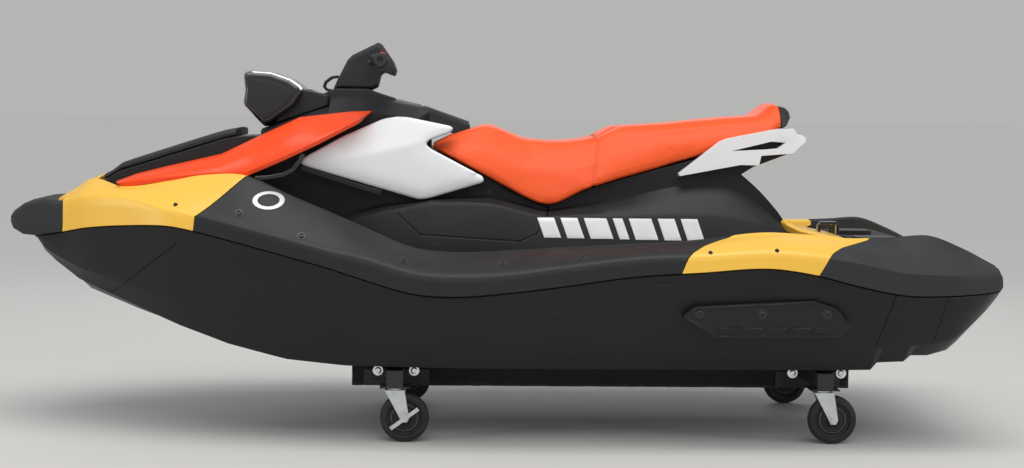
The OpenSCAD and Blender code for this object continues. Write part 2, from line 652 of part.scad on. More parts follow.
axle_r = 6;
leg_in = wheel_w / 2 + 6;
leg_t = 3;
module fork(x, y, lever) {
    color([0.78, 0.79, 0.81]) translate([x, y, 0]) {
        translate([0, 0, wheel_r * 2 + 6]) cylinder(r = 30, h = 5);
        translate([0, 0, wheel_r * 2 + 11]) cylinder(r = 24, h = tube_z - plate_t - wheel_r * 2 - 11.6);
        translate([0, 0, wheel_r * 2 + 11]) cylinder(r = 8, h = tube_z - wheel_r * 2 - 11.5);
        for (s = [-1, 1]) translate([0, s * (leg_in + leg_t / 2) + leg_t / 2, 0]) rotate([90, 0, 0])
            linear_extrude(leg_t) polygon([[30, wheel_r * 2 + 11], [-30, wheel_r * 2 + 11],
                [-trail - 14, wheel_r], [-trail - 8, wheel_r - 12], [-trail + 8, wheel_r - 12],
                [-trail + 14, wheel_r]]);
        translate([-28, -leg_in - leg_t, wheel_r * 2 + 6]) cube([56, 2 * leg_in + 2 * leg_t, 5]);
        along_y([-trail, -leg_in - 9, wheel_r], axle_r, 2 * leg_in + 18);
        for (s = [-1, 1]) along_y([-trail, s > 0 ? leg_in + leg_t : -leg_in - leg_t - 7, wheel_r], 10, 7);
        // brake lever, on the side that lever names: 1 port, -1 starboard, 0 none
        if (lever != 0) translate([-trail, lever * (leg_in + leg_t + 5) + 1.5, wheel_r]) rotate([90, 36, 0])
            translate([-52, -6, 0]) cube([104, 12, 3]);
    }
}
module wheel(x, y) {
    color([0.06, 0.06, 0.065]) translate([x - trail, y, wheel_r]) rotate([90, 0, 0]) difference() {
        rotate_extrude() polygon([[axle_r + 0.1, -leg_in + 0.5], [16, -leg_in + 0.5], [16, -12], [52, -9],
            [56, -wheel_w / 2], [wheel_r - 7, -wheel_w / 2], [wheel_r, -wheel_w / 2 + 8],
            [wheel_r, wheel_w / 2 - 8], [wheel_r - 7, wheel_w / 2], [56, wheel_w / 2], [52, 9], [16, 12],
            [16, leg_in - 0.5], [axle_r + 0.1, leg_in - 0.5]]);
    }
}

hull();
left_topside();
right_topside();
engine_block();
deck();
front_core();
bow_bumper();
bow_panel();
left_hood_panel();
right_hood_panel();
front_storage_lid();
left_side_panel();
right_side_panel();
left_gunwale();
right_gunwale();
console();
glovebox_lid();
speaker_box();
steering_cover();
handlebar();
grips();
control_levers();
seat();
seat_rear_cap();
tail_cover();
grab_handle();
left_rear_panel();
right_rear_panel();
left_rear_corner();
right_rear_corner();
stern_platform();
deck_mat();
tow_hook();
towing_eyes();
stabilizers();
intake_grate();
ride_plate();
pump_housing();
impeller();
steering_nozzle();
reverse_bucket();
dolly_frame();
bunks();
fork(front_wheels_x, caster_y, 1);  // front_left_fork
fork(front_wheels_x, -caster_y, -1);  // front_right_fork
fork(rear_wheels_x, caster_y, 0);  // rear_left_fork
fork(rear_wheels_x, -caster_y, 0);  // rear_right_fork
wheel(front_wheels_x, caster_y);  // front_left_wheel
wheel(front_wheels_x, -caster_y);  // front_right_wheel
wheel(rear_wheels_x, caster_y);  // rear_left_wheel
wheel(rear_wheels_x, -caster_y);  // rear_right_wheel
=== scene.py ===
# Three-seat personal watercraft on its rolling dolly. Bow is +X, port is +Y, metres.
import bpy, bmesh, math, random
from mathutils import Vector, Matrix
from mathutils.bvhtree import BVHTree


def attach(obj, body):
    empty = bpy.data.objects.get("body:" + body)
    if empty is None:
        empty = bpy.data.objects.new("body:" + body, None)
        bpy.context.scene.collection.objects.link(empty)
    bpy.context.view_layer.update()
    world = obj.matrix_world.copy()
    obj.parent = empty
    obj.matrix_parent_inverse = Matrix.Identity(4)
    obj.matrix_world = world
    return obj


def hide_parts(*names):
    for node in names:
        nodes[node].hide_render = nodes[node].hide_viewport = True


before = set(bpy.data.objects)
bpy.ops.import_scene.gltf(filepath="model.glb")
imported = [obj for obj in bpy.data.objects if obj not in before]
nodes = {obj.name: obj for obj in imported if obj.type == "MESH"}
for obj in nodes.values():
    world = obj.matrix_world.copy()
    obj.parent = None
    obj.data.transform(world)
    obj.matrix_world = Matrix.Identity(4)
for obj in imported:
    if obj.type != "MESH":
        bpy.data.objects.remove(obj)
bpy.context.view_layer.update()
view = bpy.context.scene
view.view_settings.view_transform = "Standard"
print("frame loaded", len(nodes), "nodes")

# camera, floor and lamps

studio = {"eye": (0.176, 5.66, 1.018), "yaw": 2.4214, "pitch": 4.1145, "roll": 0.74,
          "lens": 1750 / 1024 * 36, "floorSize": 300, "world": 0.40}


def placeCamera():
    yaw, pitch, roll = (math.radians(studio[k]) for k in ("yaw", "pitch", "roll"))
    ahead = Vector((-math.sin(yaw) * math.cos(pitch), -math.cos(yaw) * math.cos(pitch), -math.sin(pitch)))
    right = Vector((-math.cos(yaw), math.sin(yaw), 0))
    up = right.cross(ahead)
    r = right * math.cos(roll) + up * math.sin(roll)
    u = -right * math.sin(roll) + up * math.cos(roll)
    cam = bpy.data.objects.new("camera", bpy.data.cameras.new("camera"))
    cam.data.lens, cam.data.sensor_width, cam.data.sensor_fit = studio["lens"], 36, "HORIZONTAL"
    turn = Matrix((r, u, -ahead)).transposed().to_4x4()
    turn.translation = Vector(studio["eye"])
    cam.matrix_world = turn
    view.collection.objects.link(cam)
    view.camera = cam


def addLamp(name, place, aim, size, watts):
    lamp = bpy.data.lights.new(name, "AREA")
    lamp.shape, lamp.size, lamp.size_y = "RECTANGLE", size[0], size[1]
    lamp.energy = watts
    o = bpy.data.objects.new(name, lamp)
    o.location = place
    o.rotation_euler = (Vector(aim) - Vector(place)).to_track_quat("-Z", "Y").to_euler()
    view.collection.objects.link(o)


# shader groups

class Tree:
    # Small helper that adds and links nodes.

    def __init__(self, tree):
        self.t = tree

    def add(self, kind, **settings):
        n = self.t.nodes.new(kind)
        for k, v in settings.items():
            setattr(n, k, v)
        return n

    def put(self, socket, value):
        if isinstance(value, bpy.types.NodeSocket):
            self.t.links.new(value, socket)
        else:
            socket.default_value = value

    def math(self, op, a, b=0.0, c=None, clamp=False):
        n = self.add("ShaderNodeMath", operation=op, use_clamp=clamp)
        self.put(n.inputs[0], a)
        self.put(n.inputs[1], b)
        if c is not None:
            self.put(n.inputs[2], c)
        return n.outputs[0]

    def noise(self, where, scale, detail=2.0, rough=0.5, stretch=None):
        n = self.add("ShaderNodeTexNoise")
        if stretch:
            m = self.add("ShaderNodeMapping")
            m.inputs["Scale"].default_value = stretch
            self.put(m.inputs["Vector"], where)
            where = m.outputs["Vector"]
        self.put(n.inputs["Vector"], where)
        self.put(n.inputs["Scale"], scale)
        n.inputs["Detail"].default_value = detail
        n.inputs["Roughness"].default_value = rough
        return n.outputs["Fac"]

    def ramp(self, value, low, high, lowTo=0.0, highTo=1.0):
        n = self.add("ShaderNodeMapRange", clamp=True)
        for i, v in enumerate((value, low, high, lowTo, highTo)):
            self.put(n.inputs[i], v)
        return n.outputs[0]

    def mix(self, fac, a, b):
        n = self.add("ShaderNodeMix", data_type="RGBA")
        self.put(n.inputs[0], fac)
        self.put(n.inputs[6], a)
        self.put(n.inputs[7], b)
        return n.outputs[2]


def newGroup(name, inputs, outputs):
    g = bpy.data.node_groups.new(name, "ShaderNodeTree")
    for label, value in inputs.items():
        kind = "NodeSocketVector" if isinstance(value, tuple) else "NodeSocketFloat"
        g.interface.new_socket(label, in_out="INPUT", socket_type=kind).default_value = value
    for label in outputs:
        g.interface.new_socket(label, in_out="OUTPUT", socket_type="NodeSocketFloat")
    t = Tree(g)
    return g, t, t.add("NodeGroupInput").outputs, t.add("NodeGroupOutput").inputs


def grainGroup():
    g, t, i, o = newGroup("mouldedGrain", {"Size": 0.002, "Depth": 1.0}, ["Height", "Speckle"])
    where = t.add("ShaderNodeTexCoord").outputs["Object"]
    scale = t.math("DIVIDE", 1.0, i["Size"])
    cells = t.add("ShaderNodeTexVoronoi", feature="SMOOTH_F1")
    t.put(cells.inputs["Vector"], where)
    t.put(cells.inputs["Scale"], scale)
    fine = t.noise(where, t.math("MULTIPLY", scale, 2.3), 3.0, 0.6)
    both = t.math("ADD", t.math("MULTIPLY", cells.outputs["Distance"], 0.7), t.math("MULTIPLY", fine, 0.5))
    t.put(o["Height"], t.math("MULTIPLY", both, i["Depth"]))
    t.put(o["Speckle"], t.ramp(fine, 0.35, 0.7))
    return g


def wearGroup():
    g, t, i, o = newGroup("handlingWear", {"Amount": 0.3, "Patch Size": 0.3}, ["Tone", "Gloss", "Scratch"])
    where = t.add("ShaderNodeTexCoord").outputs["Object"]
    broad = t.noise(where, t.math("DIVIDE", 1.0, i["Patch Size"]), 4.0, 0.55)
    scuff = t.ramp(t.noise(where, 26.0, 5.0, 0.7, (0.35, 1.0, 2.6)), 0.60, 0.74)
    hair = t.ramp(t.noise(where, 90.0, 2.0, 0.5, (0.05, 1.0, 1.4)), 0.66, 0.72)
    t.put(o["Tone"], t.math("MULTIPLY", t.ramp(broad, 0.3, 0.7, -1.0, 1.0), i["Amount"]))
    t.put(o["Gloss"], t.math("MULTIPLY", t.math("ADD", t.ramp(broad, 0.3, 0.7), scuff), i["Amount"]))
    t.put(o["Scratch"], t.math("MULTIPLY", t.math("MAXIMUM", scuff, hair), i["Amount"]))
    return g


def dustGroup():
    g, t, i, o = newGroup("settledDust", {"Amount": 0.2}, ["Mask"])
    where = t.add("ShaderNodeTexCoord").outputs["Object"]
    facing = t.add("ShaderNodeSeparateXYZ")
    t.put(facing.inputs[0], t.add("ShaderNodeNewGeometry").outputs["Normal"])
    up = t.ramp(facing.outputs["Z"], 0.35, 1.0)
    cloud = t.ramp(t.noise(where, 9.0, 6.0, 0.65), 0.38, 0.75)
    t.put(o["Mask"], t.math("MULTIPLY", t.math("MULTIPLY", up, cloud), i["Amount"]))
    return g


def scribeGroup():
    # distance from a straight run between two points in side view, as a narrow mask
    g, t, i, o = newGroup("scribedLine", {"Start": (0.0, 0.0, 0.0), "End": (1.0, 0.0, 0.0), "Width": 0.002}, ["Mask"])
    flat = (1.0, 0.0, 1.0)

    def vec(op, a, b=None, scale=None):
        n = t.add("ShaderNodeVectorMath", operation=op)
        t.put(n.inputs[0], a)
        if b is not None:
            t.put(n.inputs[1], b)
        if scale is not None:
            t.put(n.inputs["Scale"], scale)
        return n.outputs["Value" if op in ("DOT_PRODUCT", "LENGTH") else "Vector"]
    p = vec("MULTIPLY", t.add("ShaderNodeTexCoord").outputs["Object"], flat)
    a, b = vec("MULTIPLY", i["Start"], flat), vec("MULTIPLY", i["End"], flat)
    ab, ap = vec("SUBTRACT", b, a), vec("SUBTRACT", p, a)
    along = t.math("DIVIDE", vec("DOT_PRODUCT", ap, ab), vec("DOT_PRODUCT", ab, ab), clamp=True)
    off = vec("LENGTH", vec("SUBTRACT", ap, vec("SCALE", ab, scale=along)))
    t.put(o["Mask"], t.ramp(off, t.math("MULTIPLY", i["Width"], 0.5), i["Width"], 1.0, 0.0))
    return g


groups = {"grain": grainGroup(), "wear": wearGroup(), "dust": dustGroup(), "scribe": scribeGroup()}


def finishOf(name, colour, rough, grainSize=0.0018, grainDepth=0.35, bump=0.0004, wear=0.25, patch=0.35,
             dust=0.15, speckle=0.12, metallic=0.0, coat=0.0, coatRough=0.1, sheen=0.0, lines=(), lineDepth=0.0015,
             specular=0.5):
    m = bpy.data.materials.new(name)
    m.use_nodes = True
    m.node_tree.nodes.clear()
    t = Tree(m.node_tree)
    out, shader = t.add("ShaderNodeOutputMaterial"), t.add("ShaderNodeBsdfPrincipled")
    t.put(out.inputs["Surface"], shader.outputs[0])

    def group(which, **values):
        n = t.add("ShaderNodeGroup", node_tree=groups[which])
        for k, v in values.items():
            t.put(n.inputs[k.replace("_", " ")], v)
        return n.outputs
    grain = group("grain", Size=grainSize, Depth=grainDepth)
    worn = group("wear", Amount=wear, Patch_Size=patch)
    settled = group("dust", Amount=dust)
    pale = tuple(min(1.0, c * 1.35 + 0.012) for c in colour) + (1,)
    deep = tuple(c * 0.80 for c in colour) + (1,)
    base = t.mix(t.ramp(worn["Tone"], -1.0, 1.0), deep, pale)
    base = t.mix(t.math("MULTIPLY", grain["Speckle"], speckle), base, pale)
    base = t.mix(t.math("MULTIPLY", worn["Scratch"], 0.35), base,
                 tuple(min(1, c * 0.75 + 0.11) for c in colour) + (1,))
    base = t.mix(settled["Mask"], base, (0.42, 0.40, 0.37, 1))
    height = grain["Height"]
    for start, end, width in lines:
        mark = group("scribe", Start=(start[0], 0.0, start[1]), End=(end[0], 0.0, end[1]), Width=width)["Mask"]
        base = t.mix(t.math("MULTIPLY", mark, 0.85), base, tuple(c * 0.12 for c in colour) + (1,))
        height = t.math("SUBTRACT", height, t.math("MULTIPLY", mark, lineDepth / bump))
    t.put(shader.inputs["Base Color"], base)
    level = t.math("ADD", rough, t.math("MULTIPLY", worn["Gloss"], 0.16))
    t.put(shader.inputs["Roughness"], t.math("ADD", level, t.math("MULTIPLY", settled["Mask"], 0.4), clamp=True))
    b = t.add("ShaderNodeBump")
    b.inputs["Distance"].default_value = bump
    b.inputs["Strength"].default_value = 0.8
    t.put(b.inputs["Height"], height)
    t.put(shader.inputs["Normal"], b.outputs[0])
    for label, value in (("Metallic", metallic), ("Coat Weight", coat), ("Coat Roughness", coatRough),
                         ("Sheen Weight", sheen), ("Specular IOR Level", specular)):
        shader.inputs[label].default_value = value
    return m


hullLines = [((0.954, 0.603), (1.170, 0.440), 0.0032), ((1.170, 0.440), (1.26, 0.440), 0.0026),
             ((-1.18, 0.49), (-1.14, 0.325), 0.004), ((-1.335, 0.47), (-1.315, 0.33), 0.003)]
spineLines = [((0.300, 0.690), (0.232, 0.628), 0.0035), ((0.232, 0.628), (-0.075, 0.610), 0.0035),
              ((-0.075, 0.610), (-0.125, 0.632), 0.0035), ((-0.125, 0.632), (-0.170, 0.708), 0.0035),
              ((-0.170, 0.708), (-0.02, 0.770), 0.0035)]
paint = {
    "hull_plastic": finishOf("hullPlastic", (0.0085, 0.0085, 0.009), 0.40, 0.0016, 0.3, wear=0.20, dust=0.03,
                             lines=hullLines, specular=0.24),
    "black_plastic": finishOf("blackPlastic", (0.010, 0.010, 0.0105), 0.42, 0.0015, 0.5, 0.0005, wear=0.14, dust=0.03,
                              specular=0.26),
    "spine_plastic": finishOf("spinePlastic", (0.009, 0.009, 0.0095), 0.44, 0.0015, 0.5, 0.0005, wear=0.14, dust=0.03,
                              lines=spineLines, specular=0.24),
    "soft_plastic": finishOf("softPlastic", (0.019, 0.0195, 0.021), 0.56, 0.0022, 0.8, 0.0007, wear=0.18, dust=0.05,
                             specular=0.26),
    "yellow_plastic": finishOf("yellowPlastic", (0.96, 0.475, 0.060), 0.34, 0.003, 0.12, 0.0003, wear=0.08, dust=0.01,
                               speckle=0.03, coat=0.12, specular=0.30),
    "orange_plastic": finishOf("orangePlastic", (0.98, 0.062, 0.006), 0.33, 0.003, 0.12, 0.0003, wear=0.08, dust=0.0,
                               speckle=0.03, coat=0.12, specular=0.26),
    "white_plastic": finishOf("whitePlastic", (0.88, 0.885, 0.90), 0.36, 0.003, 0.15, 0.0003, wear=0.06, dust=0.10,
                              speckle=0.03, coat=0.2),
    "grey_plastic": finishOf("greyPlastic", (0.075, 0.078, 0.083), 0.45, 0.0018, 0.5, wear=0.2, dust=0.1),
    "gloss_black": finishOf("glossBlack", (0.010, 0.010, 0.011), 0.13, 0.004, 0.05, 0.0002, wear=0.12, dust=0.05,
                            speckle=0.03, coat=0.6, coatRough=0.05),
    "seat_vinyl": finishOf("seatVinyl", (0.98, 0.088, 0.012), 0.46, 0.0024, 0.9, 0.0006, wear=0.10, patch=0.18,
                           dust=0.0, speckle=0.05, specular=0.28),
    "grip_rubber": finishOf("gripRubber", (0.018, 0.018, 0.018), 0.72, 0.0012, 0.8, 0.0004, wear=0.3, dust=0.15),
    "foam_mat": finishOf("foamMat", (0.014, 0.014, 0.0145), 0.85, 0.0035, 1.0, 0.0008, wear=0.3, dust=0.2),
    "black_metal": finishOf("blackMetal", (0.016, 0.016, 0.0165), 0.38, 0.0022, 0.6, 0.0004, wear=0.4, dust=0.08,
                            specular=0.45),
    "zinc": finishOf("zinc", (0.62, 0.64, 0.66), 0.34, 0.006, 0.3, 0.0003, wear=0.5, patch=0.02, dust=0.05,
                     metallic=1.0),
    "stainless": finishOf("stainless", (0.78, 0.78, 0.77), 0.22, 0.004, 0.2, 0.0002, wear=0.3, patch=0.03, dust=0.04,
                          metallic=1.0),
    "cast_metal": finishOf("castMetal", (0.40, 0.41, 0.43), 0.48, 0.002, 0.9, 0.0006, wear=0.4, patch=0.05, dust=0.1,
                           metallic=0.9),
    "wheel_rubber": finishOf("wheelRubber", (0.012, 0.012, 0.0125), 0.50, 0.0025, 0.5, 0.0004, wear=0.5, patch=0.06,
                             dust=0.15, specular=0.35),
    "carpet": finishOf("carpet", (0.012, 0.012, 0.013), 0.97, 0.004, 1.0, 0.003, wear=0.4, patch=0.08, dust=0.12,
                       speckle=0.5, sheen=0.3),
    "print_white": finishOf("printWhite", (0.84, 0.84, 0.83), 0.40, 0.0015, 0.5, 0.0004, wear=0.25, patch=0.05,
                            dust=0.05),
    "silver_badge": finishOf("silverBadge", (0.40, 0.40, 0.40), 0.40, 0.003, 0.3, 0.0003, wear=0.3, patch=0.02,
                             dust=0.04, metallic=0.8),
    "red_switch": finishOf("redSwitch", (0.60, 0.02, 0.012), 0.35, 0.002, 0.3, wear=0.1),
    # painted shadow: near-black matte finish that stands for the shade in gaps between parts
    "painted_shadow_gap": finishOf("paintedShadowGap", (0.006, 0.006, 0.006), 0.8, 0.003, 0.3, wear=0.1, dust=0.05),
}
print("finishes", len(paint))

# measured shapes, in millimetres as the part states them

# columns: x, half breadth, seam height, crease height, inner edge y, inner edge height
rimRows = [
    (1425, 196, 606, 700, 140, 716), (1330, 245, 622, 716, 170, 730), (1250, 306, 639, 733, 192, 784),
    (1134, 364, 651, 737, 285, 765), (985, 435, 656, 706, 310, 786), (890, 463, 641, 690, 325, 804),
    (757, 502, 611, 660, 368, 806), (620, 531, 577, 628, 392, 750), (500, 550, 546, 597, 420, 702),
    (400, 560, 515, 577, 430, 660), (250, 574, 474, 534, 445, 600), (120, 584, 467, 525, 455, 588),
    (-30, 590, 480, 534, 460, 595), (-200, 590, 502, 557, 460, 606), (-400, 590, 531, 583, 460, 618),
    (-600, 589, 545, 594, 460, 632), (-790, 588, 558, 606, 456, 655), (-930, 587, 541, 598, 450, 650),
    (-1060, 584, 509, 579, 450, 640), (-1200, 578, 482, 552, 448, 645), (-1306, 570, 479, 545, 446, 650),
    (-1410, 555, 483, 541, 446, 612), (-1480, 532, 488, 540, 440, 577), (-1515, 500, 491, 538, 430, 560)]


def rowAt(rows, x):
    i = 0
    while i < len(rows) - 2 and x < rows[i + 1][0]:
        i += 1
    return i


def slopeAt(rows, k, c):
    a, b = rows[max(k - 1, 0)], rows[min(k + 1, len(rows) - 1)]
    return (b[c] - a[c]) / (b[0] - a[0])


def smoothAt(rows, x, c):
    i = rowAt(rows, x)
    a, b = rows[i], rows[i + 1]
    h = b[0] - a[0]
    u = min(max((x - a[0]) / h, 0), 1)
    return ((2 * u**3 - 3 * u**2 + 1) * a[c] + (u**3 - 2 * u**2 + u) * h * slopeAt(rows, i, c)
            + (3 * u**2 - 2 * u**3) * b[c] + (u**3 - u**2) * h * slopeAt(rows, i + 1, c))


def straightAt(rows, x, c):
    i = rowAt(rows, x)
    a, b = rows[i], rows[i + 1]
    u = min(max((x - a[0]) / (b[0] - a[0]), 0), 1)
    return a[c] + (b[c] - a[c]) * u


def runAt(pairs, t):
    # value of a list of (t, value) pairs at t, straight between them
    for (a, va), (b, vb) in zip(pairs, pairs[1:]):
        if t <= b:
            return va + (vb - va) * (t - a) / (b - a)
    return pairs[-1][1]


# mesh helpers

def placeMesh(name, mesh, material, body="craft", slotName=None, stands=(), extra=()):
    o = bpy.data.objects.new(name, mesh)
    view.collection.objects.link(o)
    if not mesh.materials:
        for m in (material, *extra):
            mesh.materials.append(paint[m])
    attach(o, body)
    slotName or material
    if stands:
        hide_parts(*stands)
    return o


def markSmooth(b, angle):
    limit = math.radians(angle)
    for f in b.faces:
        f.smooth = True
    for e in b.edges:
        e.smooth = len(e.link_faces) == 2 and e.calc_face_angle(0) < limit


def meshFrom(name, points, faces, angle=32, mirrored=False):
    b = bmesh.new()
    vs = [b.verts.new((q[0], -q[1] if mirrored else q[1], q[2])) for q in points]
    for f in faces:
        if len(set(f)) == len(f):
            try:
                b.faces.new([vs[i] for i in f])
            except ValueError:
                pass
    bmesh.ops.remove_doubles(b, verts=b.verts, dist=0.00002)
    bmesh.ops.recalc_face_normals(b, faces=b.faces)
    markSmooth(b, angle)
    mesh = bpy.data.meshes.new(name)
    b.to_mesh(mesh)
    b.free()
    return mesh


def loftFaces(rings):
    # points and faces of a shell through rings of equal length
    n, m = len(rings[0]), len(rings)
    faces = [(i * n + j, i * n + (j + 1) % n, (i + 1) * n + (j + 1) % n, (i + 1) * n + j)
             for i in range(m - 1) for j in range(n)]
    faces += [tuple(range(n)), tuple((m - 1) * n + j for j in range(n))]
    return [q for r in rings for q in r], faces


def soften(o, width=0.003, segments=3, angle=34):
    mod = o.modifiers.new("rounded edges", "BEVEL")
    mod.width, mod.segments, mod.limit_method, mod.angle_limit = width, segments, "ANGLE", math.radians(angle)
    mod.use_clamp_overlap = True
    mod.miter_outer = "MITER_ARC"
    mod.harden_normals = True
    return o


def fromNode(node, material, body="craft", rounding=0.002, angle=32):
    # a merged, smooth copy of a stated node that stands for it
    b = bmesh.new()
    b.from_mesh(nodes[node].data)
    bmesh.ops.remove_doubles(b, verts=b.verts, dist=0.00003)
    bmesh.ops.dissolve_limit(b, angle_limit=math.radians(0.6), verts=b.verts, edges=b.edges)
    markSmooth(b, angle)
    mesh = bpy.data.meshes.new(node + "_skin")
    b.to_mesh(mesh)
    b.free()
    o = placeMesh(node + "_skin", mesh, material, body, stands=(node,))
    return soften(o, rounding) if rounding else o


def loftPiece(name, rings, material, crease, bevel, body="craft", slotName=None, stands=(), mirrored=False):
    # closed shell through rings, edges softer than crease shaded round, the rest bevelled
    mesh = meshFrom(name, *loftFaces(rings), angle=crease, mirrored=mirrored)
    return soften(placeMesh(name, mesh, material, body, slotName, stands), *bevel)


# rim: bumper to stern corner

rimSkin = {"steps": [0, .12, .26, .38, .42, .46, .5, .58, .68, .78, .88, .95, .985, 1.0, 1.03, 1.06],
           "gap": 1.2, "sections": 34, "innerWall": 438, "bowInner": 205}


def rimPoint(x, t):
    half, seam, crease = (smoothAt(rimRows, x, c) for c in (1, 2, 3))
    ye, ze = smoothAt(rimRows, x, 4), smoothAt(rimRows, x, 5)
    path = [(0, (half, seam)), (.38, (half - 7, crease - 5)), (.42, (half - 11, crease + 1)),
            (.46, (half - 22, crease + 9)),
            (.95, (ye + 8, ze - 5)), (.985, (ye + 3, ze - 1)), (1.0, (ye, ze)), (1.03, (ye - 6, ze - 1)),
            (1.06, (ye - 14, ze - 6))]
    y = runAt([(a, q[0]) for a, q in path], t)
    z = runAt([(a, q[1]) for a, q in path], t)
    belly = 4 * (t - .46) * (.95 - t) / .24 if .46 < t < .95 else 0
    return y + 1.6 * belly, z + 3.0 * belly


def rimMesh(name, front, back, mirrored, inner, gap=None):
    g = rimSkin["gap"] if gap is None else gap
    rings = []
    for k in range(rimSkin["sections"] + 1):
        u = k / rimSkin["sections"]
        ring = []
        for t in rimSkin["steps"]:
            x = (runAt(front, t) - g) * (1 - u) + (runAt(back, t) + g) * u
            y, z = rimPoint(x, t)
            ring.append((x / 1000, y / 1000, z / 1000))
        x, xFoot = ring[-1][0] * 1000, ring[0][0] * 1000
        y, z = rimPoint(x, 1.06)
        wall = min(inner, smoothAt(rimRows, x, 4) - 18)
        ring += [(x / 1000, wall / 1000, (z - 14) / 1000), (xFoot / 1000, wall / 1000, ring[0][2] + 0.001)]
        rings.append(ring)
    return meshFrom(name, *loftFaces(rings), angle=30, mirrored=mirrored)


rimEdges = {
    "bow": [(0, 1331), (1.06, 1329)],
    "bowToGunwale": [(0, 900), (.38, 897), (.46, 880), (.95, 757), (1.06, 745)],
    "gunwaleToRear": [(0, -537), (.38, -556), (.5, -580), (.7, -612), (.85, -650), (.95, -690), (1.06, -730)],
    "rearToCorner": [(0, -945), (.38, -975), (.5, -992), (.7, -1030), (.85, -1075), (.95, -1115), (1.06, -1135)],
}
for side, flip in (("left", False), ("right", True)):
    for piece, front, back, finish in (("gunwale", "bowToGunwale", "gunwaleToRear", "black_plastic"),
                                       ("rear_panel", "gunwaleToRear", "rearToCorner", "yellow_plastic")):
        o = placeMesh(f"{side}_{piece}_skin", rimMesh(f"{side}_{piece}_skin", rimEdges[front], rimEdges[back], flip,
                                                      rimSkin["innerWall"]), finish, stands=(f"{side}_{piece}",))
        soften(o, 0.0016, 2, 40)
print("rim pieces")


def bowPanels():
    for side, flip in (("left", False), ("right", True)):
        mesh = rimMesh(f"bow_panel_{side}", rimEdges["bow"], rimEdges["bowToGunwale"], flip, rimSkin["bowInner"])
        o = placeMesh(f"bow_panel_{side}", mesh, "yellow_plastic", stands=("bow_panel",))
        soften(o, 0.0016, 2, 40)
    # nose deck between the two sides, ahead of the lid
    rings = [[(x / 1000, y / 1000, z / 1000) for y, z in
              ((-196, z0 - 6), (-150, z0), (-75, z0 + 5), (0, z0 + 7), (75, z0 + 5), (150, z0), (196, z0 - 6),
               (196, z0 - 26), (-196, z0 - 26))]
             for x, z0 in ((1352, 726), (1325, 741), (1300, 756), (1270, 775), (1242, 787), (1232, 789))]
    loftPiece("nose_deck", rings, "yellow_plastic", 40, (0.004, 3, 40))


bowPanels()


def sternCorner(side, flip):
    name = f"{side}_rear_corner_skin"
    g = rimSkin["gap"]
    front = rimEdges["rearToCorner"]
    rings = []
    count = 26
    for k in range(count + 1):
        u = k / count
        ring = []
        for t in rimSkin["steps"]:
            x = (runAt(front, t) - g) * (1 - u) - 1515 * u
            y, z = rimPoint(x, t)
            ring.append((x / 1000, y / 1000, z / 1000))
        wall = min(438, ring[-1][1] * 1000 - 2)
        ring += [(ring[-1][0], wall / 1000, ring[-1][2] - 0.02), (ring[0][0], wall / 1000, ring[0][2] + .001)]
        rings.append(ring)
    last = [(-1.5245, q[1] * 0.972, 0.515 + 0.62 * (q[2] - 0.515)) for q in rings[-1]]
    rings.append(last)
    loftPiece(name, rings, "soft_plastic", 26, (0.003, 3, 40), stands=(f"{side}_rear_corner",), mirrored=flip)


sternCorner("left", False)
sternCorner("right", True)

# hull and the deck's spine

# columns: x, keel height, lower chine height, upper chine height
bottomRows = [
    (1425, 592, 597, 601), (1402, 541, 556, 570), (1365, 492, 524, 548), (1290, 423, 474, 515), (1135, 357, 414, 476),
    (958, 292, 344, 432), (811, 256, 294, 404), (633, 236, 252, 382), (454, 228, 236, 361), (200, 226, 233, 344),
    (-300, 226, 233, 339), (-1000, 226, 234, 326), (-1144, 226, 236, 324), (-1164, 226, 259, 325),
              (-1246, 228, 262, 328),
    (-1268, 230, 281, 330), (-1320, 234, 281, 334), (-1388, 246, 299, 346), (-1450, 326, 362, 398),
              (-1515, 420, 434, 452)]
# columns: x, floor height, foot y, shoulder y, shoulder height, neck height, crown height
spineRows = [
    (590, 570, 216, 214, 600, 615, 640), (520, 520, 240, 230, 640, 655, 668), (380, 455, 300, 280, 690, 705, 715),
    (215, 440, 322, 300, 725, 729, 745), (200, 440, 322, 300, 728, 733, 880), (20, 440, 322, 300, 728, 740, 799),
    (-100, 440, 322, 292, 700, 714, 736), (-146, 440, 322, 288, 690, 703, 718), (-190, 440, 322, 286, 690, 704, 720),
    (-268, 440, 322, 284, 696, 720, 759), (-391, 440, 320, 276, 700, 738, 799), (-560, 440, 312, 270, 704, 778, 846),
    (-650, 442, 308, 268, 704, 786, 868), (-720, 445, 304, 266, 700, 782, 862), (-770, 455, 300, 264, 692, 762, 822),
    (-832, 470, 297, 260, 676, 726, 768), (-890, 490, 291, 252, 648, 676, 704), (-925, 505, 288, 244, 624, 640, 656),
    (-960, 530, 285, 236, 600, 606, 614)]
hullForm = {"gap": 30, "veePart": .65, "veeRise": 12, "tunnel": (-1.70, -1.010, .140, .462), "lip": 7}


